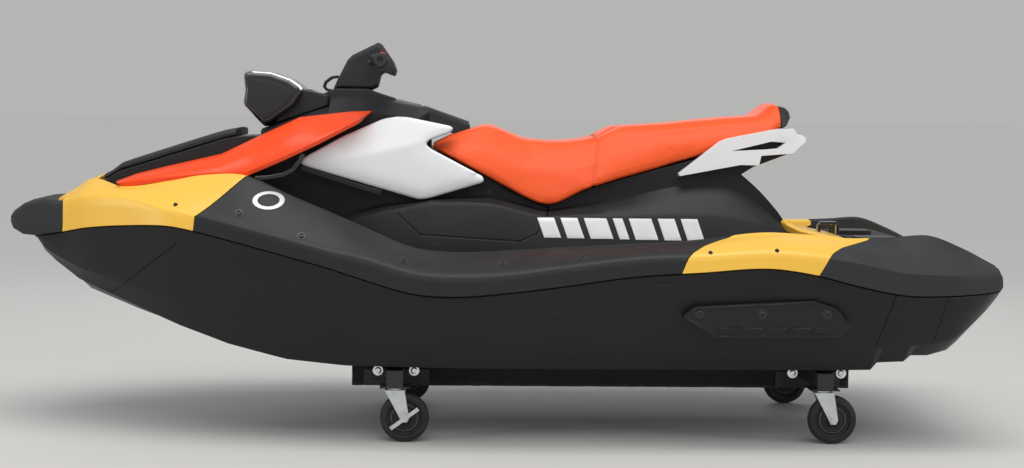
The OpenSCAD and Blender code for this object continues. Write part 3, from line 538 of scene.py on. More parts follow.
def hullRing(x):
    f = hullForm
    half, seam = smoothAt(rimRows, x, 1) - f["lip"], smoothAt(rimRows, x, 2)
    keel, low, up = (straightAt(bottomRows, x, c) for c in (1, 2, 3))
    yc, yl, yw = .86 * (half + f["lip"]), .72 * (half + f["lip"]), min(438, half - 40)
    mid = keel + f["veePart"] * (low - keel) + f["veeRise"]
    well = 1 if x > 620 or x < -980 else min(1, (620 - x) / 200, (x + 980) / 60) * (seam - 430) + 1
    side = [(0, keel), (.4 * yl, keel + (mid - keel) * .4 / f["veePart"]), (f["veePart"] * yl, mid), (yl, low),
            (yc - 8, up - .16 * (up - low)), (yc, up)]
    for u in (.15, .30, .5, .72, .88):
        side.append((yc + u * (half - yc) + 5 * math.sin(math.pi * u), up + (u * 1.03 + .01) * (seam - up)))
    side += [(half, seam - 5), (half - 5, seam - .5), (yw, seam - .5), (yw, seam - well), (0, seam - well)]
    ring = side + [(-a, b) for a, b in side[-2:0:-1]]
    return [(x / 1000, a / 1000, b / 1000) for a, b in ring]


def carve(o, boxes):
    # one box at a time, cut out of a closed shell
    for low, high in boxes:
        b = bmesh.new()
        c, d = (Vector(low) + Vector(high)) / 2, Vector(high) - Vector(low)
        bmesh.ops.create_cube(b, size=1, matrix=Matrix.Translation(c) @ Matrix.Diagonal((*d, 1)))
        tool = bpy.data.meshes.new("cutter")
        b.to_mesh(tool)
        b.free()
        t = bpy.data.objects.new("cutter", tool)
        view.collection.objects.link(t)
        mod = o.modifiers.new("carve", "BOOLEAN")
        mod.operation, mod.object, mod.solver = "DIFFERENCE", t, "EXACT"
        bakeModifiers(o)
        bpy.data.objects.remove(t)


def bakeModifiers(o):
    deps = bpy.context.evaluated_depsgraph_get()
    deps.update()
    mesh = bpy.data.meshes.new_from_object(o.evaluated_get(deps), depsgraph=deps)
    o.modifiers.clear()
    o.data = mesh


def resmooth(o, angle):
    b = bmesh.new()
    b.from_mesh(o.data)
    markSmooth(b, angle)
    b.to_mesh(o.data)
    b.free()


xs = [1425, 1402, 1384, 1365, 1345, 1318] + [1290 - hullForm["gap"] * k for k in range(92)] + [-1465, -1480, -1500,
                                                                                               -1515]
xs = sorted({x for x in xs if x >= -1515} | {-1144, -1164, -1246, -1268}, reverse=True)
o = placeMesh("hull_skin", meshFrom("hull_skin", *loftFaces([hullRing(x) for x in xs]), angle=24), "hull_plastic",
              stands=("hull", "left_topside", "right_topside"))
x0, x1, y, z = hullForm["tunnel"]
carve(o, [((x0, -y, 0), (x1, y, z)), ((-1.02, -.075, 0), (-.60, .075, .39))])
resmooth(o, 22)
soften(o, .003, 3, 30)


def spineRing(x):
    seam = smoothAt(rimRows, x, 2)
    floor, foot, shoulder, zs, neck, crown = (smoothAt(spineRows, x, c) for c in range(1, 7))
    well = 1 if x > 620 or x < -980 else min(1, (620 - x) / 200, (x + 980) / 60) * (seam - 430) + 1
    zf = seam - well
    side = [(0, zf + .5), (437, zf + .5), (437, max(zf + 12, floor)), (foot + 14, max(zf + 13, floor + 1)),
            (foot, max(zf + 20, floor + 12)), (foot + .35 * (shoulder - foot) + 5, floor + .4 * (zs - floor)),
            (shoulder + 4, zs - 16), (shoulder - 4, zs - 3), (.5 * (shoulder + 200), .5 * (zs + neck) + 2),
            (201, neck), (201, crown), (0, crown)]
    ring = side + [(-a, b) for a, b in side[-2:0:-1]]
    return [(x / 1000, a / 1000, b / 1000) for a, b in ring]


xs = sorted({590 - 26 * k for k in range(60) if 590 - 26 * k > -960} | {r[0] for r in spineRows}, reverse=True)
loftPiece("deck_skin", [spineRing(x) for x in xs], "spine_plastic", 28, (.004, 3, 34), slotName="black_plastic",
          stands=("deck",))
print("hull and deck")

# bodies that keep the stated shape

# node, finish, body, edge rounding, shading angle
plainSkins = [
    ("front_core", "black_plastic", "craft", 0.003, 30),
    ("bow_bumper", "soft_plastic", "craft", 0.006, 16),
    ("console", "black_plastic", "craft", 0.006, 30),
    ("glovebox_lid", "grey_plastic", "glovebox", 0.0025, 30),
    ("tail_cover", "black_plastic", "craft", 0.008, 30),
    ("seat_rear_cap", "soft_plastic", "seat_unit", 0.006, 30),
    ("stern_platform", "yellow_plastic", "craft", 0.005, 30),
    ("ride_plate", "black_plastic", "craft", 0.0015, 30),
    ("towing_eyes", "stainless", "craft", 0.0015, 30),
    ("intake_grate", "cast_metal", "craft", 0.0012, 30),
    ("pump_housing", "cast_metal", "craft", 0.0012, 30),
    ("impeller", "stainless", "impeller_rotor", 0.0008, 30),
    ("steering_nozzle", "black_plastic", "nozzle", 0.0012, 30),
    ("reverse_bucket", "black_plastic", "bucket", 0.0015, 30),
    ("handlebar", "black_metal", "steering", 0.0, 30),
    ("control_levers", "black_plastic", "steering", 0.002, 30),
    ("tow_hook", "black_metal", "craft", 0.001, 30),
    ("dolly_frame", "black_metal", "craft", 0.0025, 30),
]
for row in plainSkins:
    fromNode(*row)
nodes["engine_block"].data.materials.clear()
nodes["engine_block"].data.materials.append(paint["cast_metal"])
print("stated shapes skinned")

# hood, white side panels, lid

# columns: x below, y below, z below, x above, y above, z above
hoodRows = [(1150, 282, 772, 1162, 262, 778), (1120, 290, 776, 1106, 246, 800), (990, 305, 796, 1014, 240, 824),
            (862, 318, 811, 847, 238, 864), (757, 322, 814, 728, 238, 922), (650, 322, 861, 606, 238, 980),
            (549, 318, 909, 453, 236, 999), (420, 300, 978, 385, 240, 1002)]


def hoodPanel(side, flip):
    rings = []
    fine = []
    for a, b in zip(hoodRows, hoodRows[1:]):
        fine += [tuple(p + (q - p) * k / 4 for p, q in zip(a, b)) for k in range(4)]
    fine.append(hoodRows[-1])
    for r in fine:
        low, high = Vector((r[0], r[1], r[2])), Vector((r[3], r[4], r[5]))
        ring = []
        for k in range(7):
            u = k / 6
            q = low.lerp(high, u)
            q.y += 13 * math.sin(math.pi * min(1, u * 1.05)) ** 0.8
            ring.append(q / 1000)
        ring += [Vector((high.x, high.y - 14, high.z + 2)) / 1000, Vector((high.x, 203, high.z - 1)) / 1000,
                 Vector((low.x, 203, low.z - 9)) / 1000, Vector((low.x, low.y - 3, low.z - 12)) / 1000]
        rings.append([tuple(q) for q in ring])
    name = f"{side}_hood_panel_skin"
    loftPiece(name, rings, "orange_plastic", 36, (0.0030, 3, 38), stands=(f"{side}_hood_panel",), mirrored=flip)


sidePanel = {"outline": [(603, 843), (594, 858), (472, 926), (350, 980), (310, 988), (274, 987), (140, 961),
                         (131, 952),
                         (142, 940), (208, 916), (216, 903), (200, 890), (38, 806), (36, 788), (206, 736), (235, 732),
                         (257, 738), (308, 752), (593, 832)],
             "inner": 202, "outer": 262, "gridStep": 11, "creaseFrom": (412, 868), "creaseTo": (225, 912)}


def edgeDistance(x, z, outline):
    best = 1e9
    for (xa, za), (xb, zb) in zip(outline, outline[1:] + outline[:1]):
        dx, dz = xb - xa, zb - za
        u = max(0, min(1, ((x - xa) * dx + (z - za) * dz) / (dx * dx + dz * dz)))
        best = min(best, math.hypot(x - xa - u * dx, z - za - u * dz))
    return best


def roundedOutline(outline, radius, steps=4):
    done = []
    n = len(outline)
    for i in range(n):
        a, b, c = (Vector(outline[(i + k) % n]) for k in (-1, 0, 1))
        ra, rc = min(radius, (a - b).length * 0.45), min(radius, (c - b).length * 0.45)
        p, q = b + (a - b).normalized() * ra, b + (c - b).normalized() * rc
        for k in range(steps + 1):
            u = k / steps
            done.append(tuple(p * (1 - u) ** 2 + b * 2 * u * (1 - u) + q * u * u))
    return done


def blistered(name, outline, depthAt, inner, step, material, stands, flip, body="craft", slotName=None, angle=44,
              bevel=8.0, shadowWallFinish=()):
    # a moulded panel in side view whose outer face follows depthAt(x, z)
    ring = evenOutline(roundedOutline(outline, 11), 6)
    b = bmesh.new()
    xs, zs = [x for x, z in ring], [z for x, z in ring]
    last, area = None, sum(a[0] * c[1] - c[0] * a[1] for a, c in zip(ring, ring[1:] + ring[:1]))
    for d in (0, .7, 2.2, 4.6, 8):
        loop = []
        for k, (x, z) in enumerate(ring):
            (xa, za), (xc, zc) = ring[k - 1], ring[(k + 1) % len(ring)]
            tx, tz = xc - xa, zc - za
            length = math.hypot(tx, tz) or 1
            sign = 1 if area > 0 else -1
            loop.append(b.verts.new((x - sign * tz / length * d, 0, z + sign * tx / length * d)))
        if last:
            for k in range(len(loop)):
                b.faces.new((last[k - 1], last[k], loop[k], loop[k - 1]))
        last = loop
    b.faces.new(last)
    x = math.floor(min(xs)) + step
    while x < max(xs):
        bmesh.ops.bisect_plane(b, geom=b.verts[:] + b.edges[:] + b.faces[:], plane_co=(x, 0, 0), plane_no=(1, 0, 0))
        x += step
    z = math.floor(min(zs)) + step
    while z < max(zs):
        bmesh.ops.bisect_plane(b, geom=b.verts[:] + b.edges[:] + b.faces[:], plane_co=(0, 0, z), plane_no=(0, 0, 1))
        z += step
    edge = [e for e in b.edges if e.is_boundary]
    for v in b.verts:
        near = edgeDistance(v.co.x, v.co.z, ring)
        fall = bevel * (1 - math.sqrt(max(0, 1 - (1 - min(near / 8, 1)) ** 2)))
        v.co.y = depthAt(v.co.x, v.co.z, near) - fall
    wall = bmesh.ops.extrude_edge_only(b, edges=edge)["geom"]
    for v in (g for g in wall if isinstance(g, bmesh.types.BMVert)):
        v.co.y = inner
    for v in b.verts:
        v.co = Vector((v.co.x, -v.co.y if flip else v.co.y, v.co.z)) / 1000
    bmesh.ops.remove_doubles(b, verts=b.verts, dist=0.00005)
    back = [e for e in b.edges if e.is_boundary]
    bmesh.ops.holes_fill(b, edges=back, sides=0)
    bmesh.ops.recalc_face_normals(b, faces=b.faces)
    # the panel's side walls take the second finish, a painted shadow-gap black
    if shadowWallFinish:
        for f in b.faces:
            f.material_index = 1 if abs(f.normal.y) < .30 else 0
    markSmooth(b, angle)
    mesh = bpy.data.meshes.new(name)
    b.to_mesh(mesh)
    b.free()
    return placeMesh(name, mesh, material, body, slotName, stands, extra=shadowWallFinish)


def evenOutline(ring, step):
    # the same closed run with points no farther apart than step
    done = []
    for (xa, za), (xb, zb) in zip(ring, ring[1:] + ring[:1]):
        n = max(1, round(math.hypot(xb - xa, zb - za) / step))
        if math.hypot(xb - xa, zb - za) > .3:
            done += [(xa + (xb - xa) * k / n, za + (zb - za) * k / n) for k in range(n)]
    return done


def whiteDepth(x, z, e):
    s = sidePanel
    (xa, za), (xb, zb) = s["creaseFrom"], s["creaseTo"]
    # soft step: the face above the crease leans in towards the hood
    along = (x - xa) / (xb - xa)
    line = za + (zb - za) * along
    above = max(0, z - line) * min(1, max(0, 1.25 - abs(along - .35)))
    lower = max(0, 26 - e) / 26 if z < 736 + abs(x - 235) * .28 + 30 else 0
    return s["outer"] - 0.34 * above - 5 * lower + 4 * math.sin(min(1, e / 60) * math.pi / 2)


for side, flip in (("left", False), ("right", True)):
    hoodPanel(side, flip)
    # white side panels with their side walls in painted shadow-gap black
    blistered(f"{side}_side_panel_skin", sidePanel["outline"], whiteDepth, sidePanel["inner"], sidePanel["gridStep"],
              "white_plastic", (f"{side}_side_panel",), flip, shadowWallFinish=("painted_shadow_gap",))
print("hood and side panels")


def frontLid():
    rows = [(1219, 782, 796, 150), (1200, 789, 804, 166), (1163, 811, 831, 178), (1120, 824, 846, 182),
            (1060, 843, 866, 184),
            (960, 876, 899, 186), (880, 901, 925, 186), (846, 912, 935, 184), (808, 921, 942, 178)]
    rings = []
    for x, low, high, y in rows:
        half = [(0, low), (y - 6, low), (y, low + 5), (y, high - 9), (y - 9, high - 1), (y - 44, high + 3),
                (y - 58, high - 3),
                (y - 80, high - 3), (y - 92, high + 4), (0, high + 5)]
        ring = half + [(-a, b) for a, b in half[-2:0:-1]]
        rings.append([(x / 1000, a / 1000, b / 1000) for a, b in ring])
    loftPiece("front_lid_skin", rings, "soft_plastic", 28, (0.0025, 3, 34), "storage_lid", "black_plastic",
              ("front_storage_lid",))


frontLid()

# speaker box and steering cover

coverOutline = [(516, 1070), (503, 1100), (471, 1164), (456, 1180), (373, 1222), (361, 1216), (322, 1160),
                (312, 1134),
                (318, 1115), (350, 1127), (363, 1118), (372, 1080), (392, 1070)]


def taperedBox(name, outline, half, taper, material, body, slotName, stands, rounding):
    # outline in side view, carried across in steps that draw in near the two ends
    cx = sum(x for x, z in outline) / len(outline)
    cz = sum(z for x, z in outline) / len(outline)
    rings = []
    for share in (-1, -.93, -.82, -.55, 0, .55, .82, .93, 1):
        s = 1 - taper * max(0, (abs(share) - .5) * 2) ** 2
        rings.append([((cx + (x - cx) * s) / 1000, share * half / 1000, (cz + (z - cz) * s) / 1000) for x,
                      z in outline])
    return loftPiece(name, rings, material, 30, (rounding, 3, 30), body, slotName, stands)


boxOutline = [(795, 1119), (774, 1126), (705, 1122), (640, 1100), (606, 1076), (598, 1056), (622, 1016), (704, 956),
              (728, 948), (796, 1017), (789, 1064)]
footOutline = [(606, 1070), (570, 1062), (524, 1052), (524, 1018), (606, 989.4), (700, 957), (640, 1040)]
taperedBox("speaker_skin", boxOutline, 150, 0.12, "gloss_black", "craft", "gloss_black", ("speaker_box",), 0.009)
taperedBox("speaker_foot", footOutline, 118, 0.05, "soft_plastic", "craft", "black_plastic", (), 0.004)
for side, s in (("left", 1), ("right", -1)):
    panel = [(772, 1100), (712, 1096), (648, 1072), (634, 1056), (650, 1024), (712, 976), (728, 974), (770, 1018)]
    taperedBox(f"{side}_speaker_face", [(x, z) for x, z in panel], 4, 0.2, "soft_plastic", "craft", "black_plastic",
               (), 0.0012)
    bpy.data.objects[f"{side}_speaker_face"].data.transform(Matrix.Translation((0, s * .1496, 0)))
taperedBox("steering_cover_skin", coverOutline, 52, 0.16, "soft_plastic", "steering", "black_plastic",
           ("steering_cover",), 0.004)
print("speaker and steering cover")

# grips

bars = {"gripX": .356, "gripZ": 1.158, "from": .236, "to": .362, "radius": .0165, "ribs": 15}


def ribTree():
    # rings along a straight run
    g = bpy.data.node_groups.new("ringRun", "GeometryNodeTree")
    for label, kind, value in (("Count", "NodeSocketInt", 10), ("Length", "NodeSocketFloat", .1),
                               ("Ring Radius", "NodeSocketFloat", .016),
                               ("Bead", "NodeSocketFloat", .0016), ("Finish", "NodeSocketMaterial", None)):
        s = g.interface.new_socket(label, in_out="INPUT", socket_type=kind)
        if value is not None:
            s.default_value = value
    g.interface.new_socket("Geometry", in_out="OUTPUT", socket_type="NodeSocketGeometry")
    add, link = g.nodes.new, g.links.new
    i, o = add("NodeGroupInput"), add("NodeGroupOutput")
    line, ring, bead, sweep = (add(k) for k in ("GeometryNodeMeshLine", "GeometryNodeCurvePrimitiveCircle",
                                                "GeometryNodeCurvePrimitiveCircle", "GeometryNodeCurveToMesh"))
    put, real, paintIt, step, vec, turn = (add(k) for k in ("GeometryNodeInstanceOnPoints",
                                                            "GeometryNodeRealizeInstances", "GeometryNodeSetMaterial",
                                                             "ShaderNodeMath", "ShaderNodeCombineXYZ",
                                                            "GeometryNodeRotateInstances"))
    step.operation = "DIVIDE"
    link(i.outputs["Length"], step.inputs[0])
    link(i.outputs["Count"], step.inputs[1])
    link(step.outputs[0], vec.inputs["Y"])
    link(vec.outputs[0], line.inputs["Offset"])
    link(i.outputs["Count"], line.inputs["Count"])
    ring.inputs["Resolution"].default_value, bead.inputs["Resolution"].default_value = 32, 6
    link(i.outputs["Ring Radius"], ring.inputs["Radius"])
    link(i.outputs["Bead"], bead.inputs["Radius"])
    link(ring.outputs["Curve"], sweep.inputs["Curve"])
    link(bead.outputs["Curve"], sweep.inputs["Profile Curve"])
    link(line.outputs["Mesh"], put.inputs["Points"])
    link(sweep.outputs["Mesh"], put.inputs["Instance"])
    link(put.outputs[0], turn.inputs["Instances"])
    turn.inputs["Rotation"].default_value = (math.pi / 2, 0, 0)
    link(turn.outputs[0], real.inputs[0])
    link(real.outputs[0], paintIt.inputs["Geometry"])
    link(i.outputs["Finish"], paintIt.inputs["Material"])
    link(paintIt.outputs[0], o.inputs[0])
    return g


def grow(tree, values, base=None):
    # runs a Geometry Nodes tree with its inputs set by identifier and gives back a plain mesh
    holder = bpy.data.objects.new("grower", base or bpy.data.meshes.new("seed"))
    view.collection.objects.link(holder)
    mod = holder.modifiers.new("grow", "NODES")
    mod.node_group = tree
    ids = {s.name: s.identifier for s in tree.interface.items_tree if s.in_out == "INPUT"}
    for label, value in values.items():
        mod[ids[label]] = value
    depsgraph = bpy.context.evaluated_depsgraph_get()
    depsgraph.update()
    mesh = bpy.data.meshes.new_from_object(holder.evaluated_get(depsgraph), depsgraph=depsgraph)
    bpy.data.objects.remove(holder)
    return mesh


def shiftMesh(mesh, move, sign=1):
    mesh.transform(Matrix.Translation(move) @ Matrix.Diagonal((1, sign, 1, 1)))
    if sign < 0:
        mesh.flip_normals()
    return mesh


def revolve(name, profile, centre, axis, material, body, slotName=None, stands=(), segments=48, angle=32):
    # profile of (radius, along) pairs turned round an axis through centre
    axis = Vector(axis).normalized()
    side = axis.orthogonal().normalized()
    other = axis.cross(side)
    rings = []
    for k in range(segments):
        a = 2 * math.pi * k / segments
        out = side * math.cos(a) + other * math.sin(a)
        rings.append([tuple(Vector(centre) + axis * h + out * r) for r, h in profile])
    pts = [q for r in rings for q in r]
    n = len(profile)
    faces = [(k * n + j, ((k + 1) % segments) * n + j, ((k + 1) % segments) * n + j + 1, k * n + j + 1)
             for k in range(segments) for j in range(n - 1)]
    faces = [tuple(dict.fromkeys(f)) for f in faces]
    return placeMesh(name, meshFrom(name, pts, faces, angle), material, body, slotName, stands)


ringRun = ribTree()
for side, sign in (("left", 1), ("right", -1)):
    r, a, z = bars["radius"], bars["from"], bars["to"]
    profile = [(0.0112, a), (r + .006, a), (r + .0065, a + .004), (r + .002, a + .009), (r, a + .013),
               (r + .0005, z - .014),
               (r + .004, z - .009), (r + .0045, z - .004), (r + .002, z), (.009, z), (.008, z - .005), (0, z - .005)]
    revolve(f"{side}_grip_body", [(q, h * sign) for q, h in profile], (bars["gripX"], 0, bars["gripZ"]), (0, 1, 0),
            "grip_rubber",
            "steering", stands=("grips",))
    ribs = grow(ringRun, {"Count": bars["ribs"], "Length": (z - a) - .034, "Ring Radius": r, "Bead": .0015,
                          "Finish": paint["grip_rubber"]})
    shiftMesh(ribs, (bars["gripX"], sign * (a + .017), bars["gripZ"]), sign)
    placeMesh(f"{side}_grip_ribs", ribs, "grip_rubber", "steering")
print("grips")

# seat

# columns: x, base height, base half width, top height, top half width
seatRows = [(196, 891, 214, 906, 168), (124, 854, 238, 940, 172), (60, 821, 246, 962, 165), (20, 801, 248, 964, 160),
            (-60, 759, 250, 935, 160), (-100, 738, 250, 921, 160), (-146, 721, 250, 916, 162),
            (-190, 723, 250, 913, 165),
            (-268, 762, 248, 917, 168), (-320, 780, 240, 930, 166), (-365, 794, 232, 955, 162),
            (-391, 802, 226, 961, 162),
            (-480, 827, 212, 967, 165), (-560, 850, 194, 974, 165), (-650, 877, 193, 984, 165),
            (-740, 905, 192, 993, 163),
            (-845, 942, 188, 1004, 155), (-868, 950, 180, 1028, 140), (-888, 957, 172, 1045, 128),
            (-904, 963, 165, 1040, 124)]
seatPad = {"shrink": 4.0, "voxel": 0.0065, "pressure": 3.2, "frames": 16, "cap": 0.007, "seams": (-320,),
           "seamDepth": 3.4, "seamWidth": 4.6}


def seatMesh(shrink):
    rings = []
    xs = [196, 175, 150, 124, 95, 80, 60, 40, 20] + [20 - 26 * k for k in range(1, 35)] + [-880, -888, -896, -904]
    for x in sorted({v for v in xs if v >= -904}, reverse=True):
        low, base, high, top = (smoothAt(seatRows, x, c) for c in (1, 2, 3, 4))
        low, base, high, top = low + 1, base - shrink, high - shrink, top - shrink
        tall = high - low
        half = [(0, low), (base - 6, low), (base + 1, low + .05 * tall), (base + 2, low + .14 * tall),
                (top + .72 * (base - top), low + .52 * tall), (top + .34 * (base - top), low + .74 * tall),
                (top + 2, low + .90 * tall), (top - 10, low + .975 * tall), (.80 * top, high - 1),
                (.45 * top, high + 2), (0, high + 2)]
        ring = half + [(-a, b) for a, b in half[-2:0:-1]]
        rings.append([(x / 1000, a / 1000, b / 1000) for a, b in ring])
    return meshFrom("seat_pad", *loftFaces(rings), angle=180)


def puffed(o, spec):
    # remesh, let cloth pressure swell the pad, cap how far any point may go
    mod = o.modifiers.new("voxels", "REMESH")
    mod.mode, mod.voxel_size, mod.use_smooth_shade = "VOXEL", spec["voxel"], True
    bakeModifiers(o)
    start = [v.co.copy() for v in o.data.vertices]
    cloth = o.modifiers.new("cloth", "CLOTH")
    s = cloth.settings
    s.use_pressure, s.uniform_pressure_force = True, spec["pressure"]
    s.tension_stiffness = s.compression_stiffness = 20
    s.bending_stiffness, s.quality = 2.0, 4
    s.effector_weights.gravity = 0
    cloth.collision_settings.use_collision = False
    held = o.vertex_groups.new(name="held")
    low = {v.index for v in o.data.vertices
           if v.co.z * 1000 < smoothAt(seatRows, v.co.x * 1000, 1) + 9 or v.co.x < -.892 or v.co.x > .16}
    held.add(sorted(low), 1.0, "REPLACE")
    s.vertex_group_mass = "held"
    view.frame_start, view.frame_end = 1, spec["frames"]
    for f in range(1, spec["frames"] + 1):
        view.frame_set(f)
    bakeModifiers(o)
    view.frame_set(1)
    for v, a in zip(o.data.vertices, start):
        d = v.co - a
        if d.length > spec["cap"]:
            v.co = a + d.normalized() * spec["cap"]
    b = bmesh.new()
    b.from_mesh(o.data)
    for _ in range(3):
        bmesh.ops.smooth_vert(b, verts=b.verts, factor=0.5, use_axis_x=True, use_axis_y=True, use_axis_z=True)
    b.to_mesh(o.data)
    b.free()
    for f in o.data.polygons:
        f.use_smooth = True
    o.data.update()


def seatPress(o):
    # cross seams and the welt above the lower edge, pressed in after the cloth
    for v in o.data.vertices:
        x, y, z = v.co * 1000
        low, high = smoothAt(seatRows, x, 1), smoothAt(seatRows, x, 3)
        push = 0.0
        for at in seatPad["seams"]:
            lean = at - (z - 900) * .08 + abs(y) * .02
            push = max(push, math.exp(-((x - lean) / seatPad["seamWidth"]) ** 2) * seatPad["seamDepth"])
        welt = low + 15
        if abs(y) > 120:
            push = max(push, math.exp(-((z - welt) / 3.5) ** 2) * 1.8)
        n = v.normal
        v.co -= n * push / 1000
        # soft hollow where the rider sits
        if -260 < x < 40 and abs(y) < 190 and z > high - 40:
            v.co.z -= .003 * math.cos((x + 110) / 150 * math.pi / 2) * math.cos(y / 190 * math.pi / 2)


seatBody = bpy.data.objects.new("seat_pad", seatMesh(seatPad["shrink"]))
view.collection.objects.link(seatBody)
carve(seatBody, [((.066, -.109, .65), (.366, .109, 1.15))])   # room for the console's tail
puffed(seatBody, seatPad)
seatPress(seatBody)
seatBody.data.materials.clear()
seatBody.data.materials.append(paint["seat_vinyl"])
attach(seatBody, "seat_unit")
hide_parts("seat")
print("seat", len(seatBody.data.vertices))

# grab handle, stern deck

fromNode("grab_handle", "white_plastic", rounding=.005, angle=36)


def deckMat():
    # grooved mat around the tow hook
    b = bmesh.new()
    step = .022
    x = -1.333
    while x < -1.008:
        wide = min(step - .004, -1.007 - x)
        for y0, y1 in ((-.379, -.046), (.046, .379)) if -1.145 < x + step and x < -1.075 else ((-.379, .379),):
            m = Matrix.Translation((x + wide / 2, (y0 + y1) / 2, .609)) @ Matrix.Diagonal((wide, y1 - y0, .005, 1))
            bmesh.ops.create_cube(b, size=1, matrix=m)
        x += step
    bmesh.ops.create_cube(b, size=1, matrix=Matrix.Translation((-1.170, 0,
                                                                .6055)) @ Matrix.Diagonal((.326, .758, .003, 1)))
    mesh = bpy.data.meshes.new("deck_mat_skin")
    b.to_mesh(mesh)
    b.free()
    o = placeMesh("deck_mat_skin", mesh, "foam_mat", stands=("deck_mat",))
    soften(o, .0012, 2, 40)


deckMat()

# stabilizers

finOutline = [(-542, 409), (-583, 442), (-935, 462), (-1005, 439), (-1048, 384), (-1014, 349), (-647, 347)]


def finDepth(x, z, e):
    rim = 4 * math.exp(-((e - 5) / 3.5) ** 2)
    slope = 0 if z > 380 else (380 - z) * .35
    slat = 0
    if 352 < z < 382 and -1000 < x < -640:
        slat = 4 * (((x + z * .9) % 92) / 92) - 2
    return 566 + rim - slope + slat


for side, flip in (("left", False), ("right", True)):
    blistered(f"{side}_stabilizer_skin", finOutline, finDepth, 508, 8, "black_plastic", ("stabilizers",), flip,
              angle=40, bevel=3.0)
print("handle, mat and stabilizers")

# bunks with carpet

carpetLook = {"fuzz": .0012, "seed": 7}


def carpeted(node):
    b = bmesh.new()
    b.from_mesh(nodes[node].data)
    bmesh.ops.remove_doubles(b, verts=b.verts, dist=0.00003)
    bmesh.ops.dissolve_limit(b, angle_limit=math.radians(1.0), verts=b.verts, edges=b.edges)
    for axis, low, high, step in ((0, -1.144, .445, .018), (2, .135, .24, .016)):
        at = low + step
        while at < high:
            co, no = [0, 0, 0], [0, 0, 0]
            co[axis], no[axis] = at, 1
            bmesh.ops.bisect_plane(b, geom=b.verts[:] + b.edges[:] + b.faces[:], plane_co=co, plane_no=no)
            at += step
    bmesh.ops.triangulate(b, faces=b.faces)
    b.normal_update()
    rng = random.Random(carpetLook["seed"])
    for v in b.verts:
        v.co -= v.normal * rng.random() * carpetLook["fuzz"]
    for f in b.faces:
        f.smooth = True
    mesh = bpy.data.meshes.new(node + "_carpet")
    b.to_mesh(mesh)
    b.free()
    placeMesh(node + "_carpet", mesh, "carpet", stands=(node,))


carpeted("bunks")
print("bunks")

# casters

caster = {"radius": .075, "width": .036, "trail": .030, "offset": .372, "frontX": .303, "rearX": -1.010}
for end, x in (("front", caster["frontX"]), ("rear", caster["rearX"])):
    for side, sign in (("left", 1), ("right", -1)):
        tag = f"{end}_{side}"
        fromNode(f"{tag}_fork", "zinc", f"{tag}_caster", rounding=.0012)
        c = (x - caster["trail"], sign * caster["offset"], caster["radius"])
        w = caster["width"] / 2
        tyre = [(.0545, -w + .001), (.058, -w), (.066, -w), (.0715, -w + .003), (.0742, -w + .009), (.0748, -.004),
                (.0750, 0),
                (.0748, .004), (.0742, w - .009), (.0715, w - .003), (.066, w), (.058, w), (.0545, w - .001),
                (.0535, w - .004),
                (.053, w - .008), (.047, .0085), (.044, .0100), (.0385, .0105), (.036, .0095), (.026, .0100),
                (.022, .0125),
                (.0185, .0150), (.0165, .0225), (.0062, .0230), (.0062, -.0230), (.0165, -.0225), (.0185, -.0150),
                (.022, -.0125),
                (.026, -.0100), (.036, -.0095), (.0385, -.0105), (.044, -.0100), (.047, -.0085), (.053, -w + .008),
                (.0535, -w + .004)]
        revolve(f"{tag}_tyre", tyre + tyre[:1], c, (0, 1, 0), "wheel_rubber", f"{tag}_roller",
                stands=(f"{tag}_wheel",), segments=56, angle=40)
        for s in (-1, 1):
            ring = [(.0365, s * .0098), (.0375, s * .0122), (.0400, s * .0128), (.0425, s * .0122),
                    (.0435, s * .0098)]
            revolve(f"{tag}_hub_ring_{'out' if s > 0 else 'in'}", ring + ring[:1], c, (0, 1, 0), "gloss_black",
                    f"{tag}_roller", segments=48)
print("casters")

# small fittings

def hostTree(names):
    points, faces = [], []
    for name in names:
        mesh, start = bpy.data.objects[name].data, len(points)
        points += [v.co.copy() for v in mesh.vertices]
        faces += [[start + k for k in f.vertices] for f in mesh.polygons]
    return BVHTree.FromPolygons(points, faces)


def touch(tree, x, z, sign):
    # where a line across the craft first meets the surface, and the way it faces
    where, facing, face, far = tree.ray_cast(Vector((x, sign * .9, z)), Vector((0, -sign, 0)))
    if where is None:
        return Vector((x, sign * .3, z)), Vector((0, sign, 0))
    return where, facing if facing.y * sign > 0 else -facing


markSlots = {"print_white": "white_plastic", "silver_badge": "stainless"}


def draped(name, tree, outline, sign, material, lift=.0008, body="craft"):
    # a thin plate that follows the surface under it
    cx, cz = sum(x for x, z in outline) / len(outline), sum(z for x, z in outline) / len(outline)
    b = bmesh.new()
    edge, last = None, None
    for u in (1, .8, .6, .4, .2):
        loop = []
        for x, z in outline:
            where, facing = touch(tree, cx + (x - cx) * u, cz + (z - cz) * u, sign)
            loop.append(b.verts.new(where + facing * (lift if u < 1 else lift * .6)))
        if last:
            for k in range(len(loop)):
                b.faces.new((last[k - 1], last[k], loop[k], loop[k - 1]))
        edge, last = edge or loop, loop
    b.faces.new(last)
    back = []
    for v, (x, z) in zip(edge, outline):
        where, facing = touch(tree, x, z, sign)
        back.append(b.verts.new(where - facing * .0025))
    for k in range(len(edge)):
        b.faces.new((edge[k - 1], edge[k], back[k], back[k - 1]))
    b.faces.new(back)
    bmesh.ops.recalc_face_normals(b, faces=b.faces)
    markSmooth(b, 40)
    mesh = bpy.data.meshes.new(name)
    b.to_mesh(mesh)
    b.free()
    return placeMesh(name, mesh, material, body, markSlots.get(material))


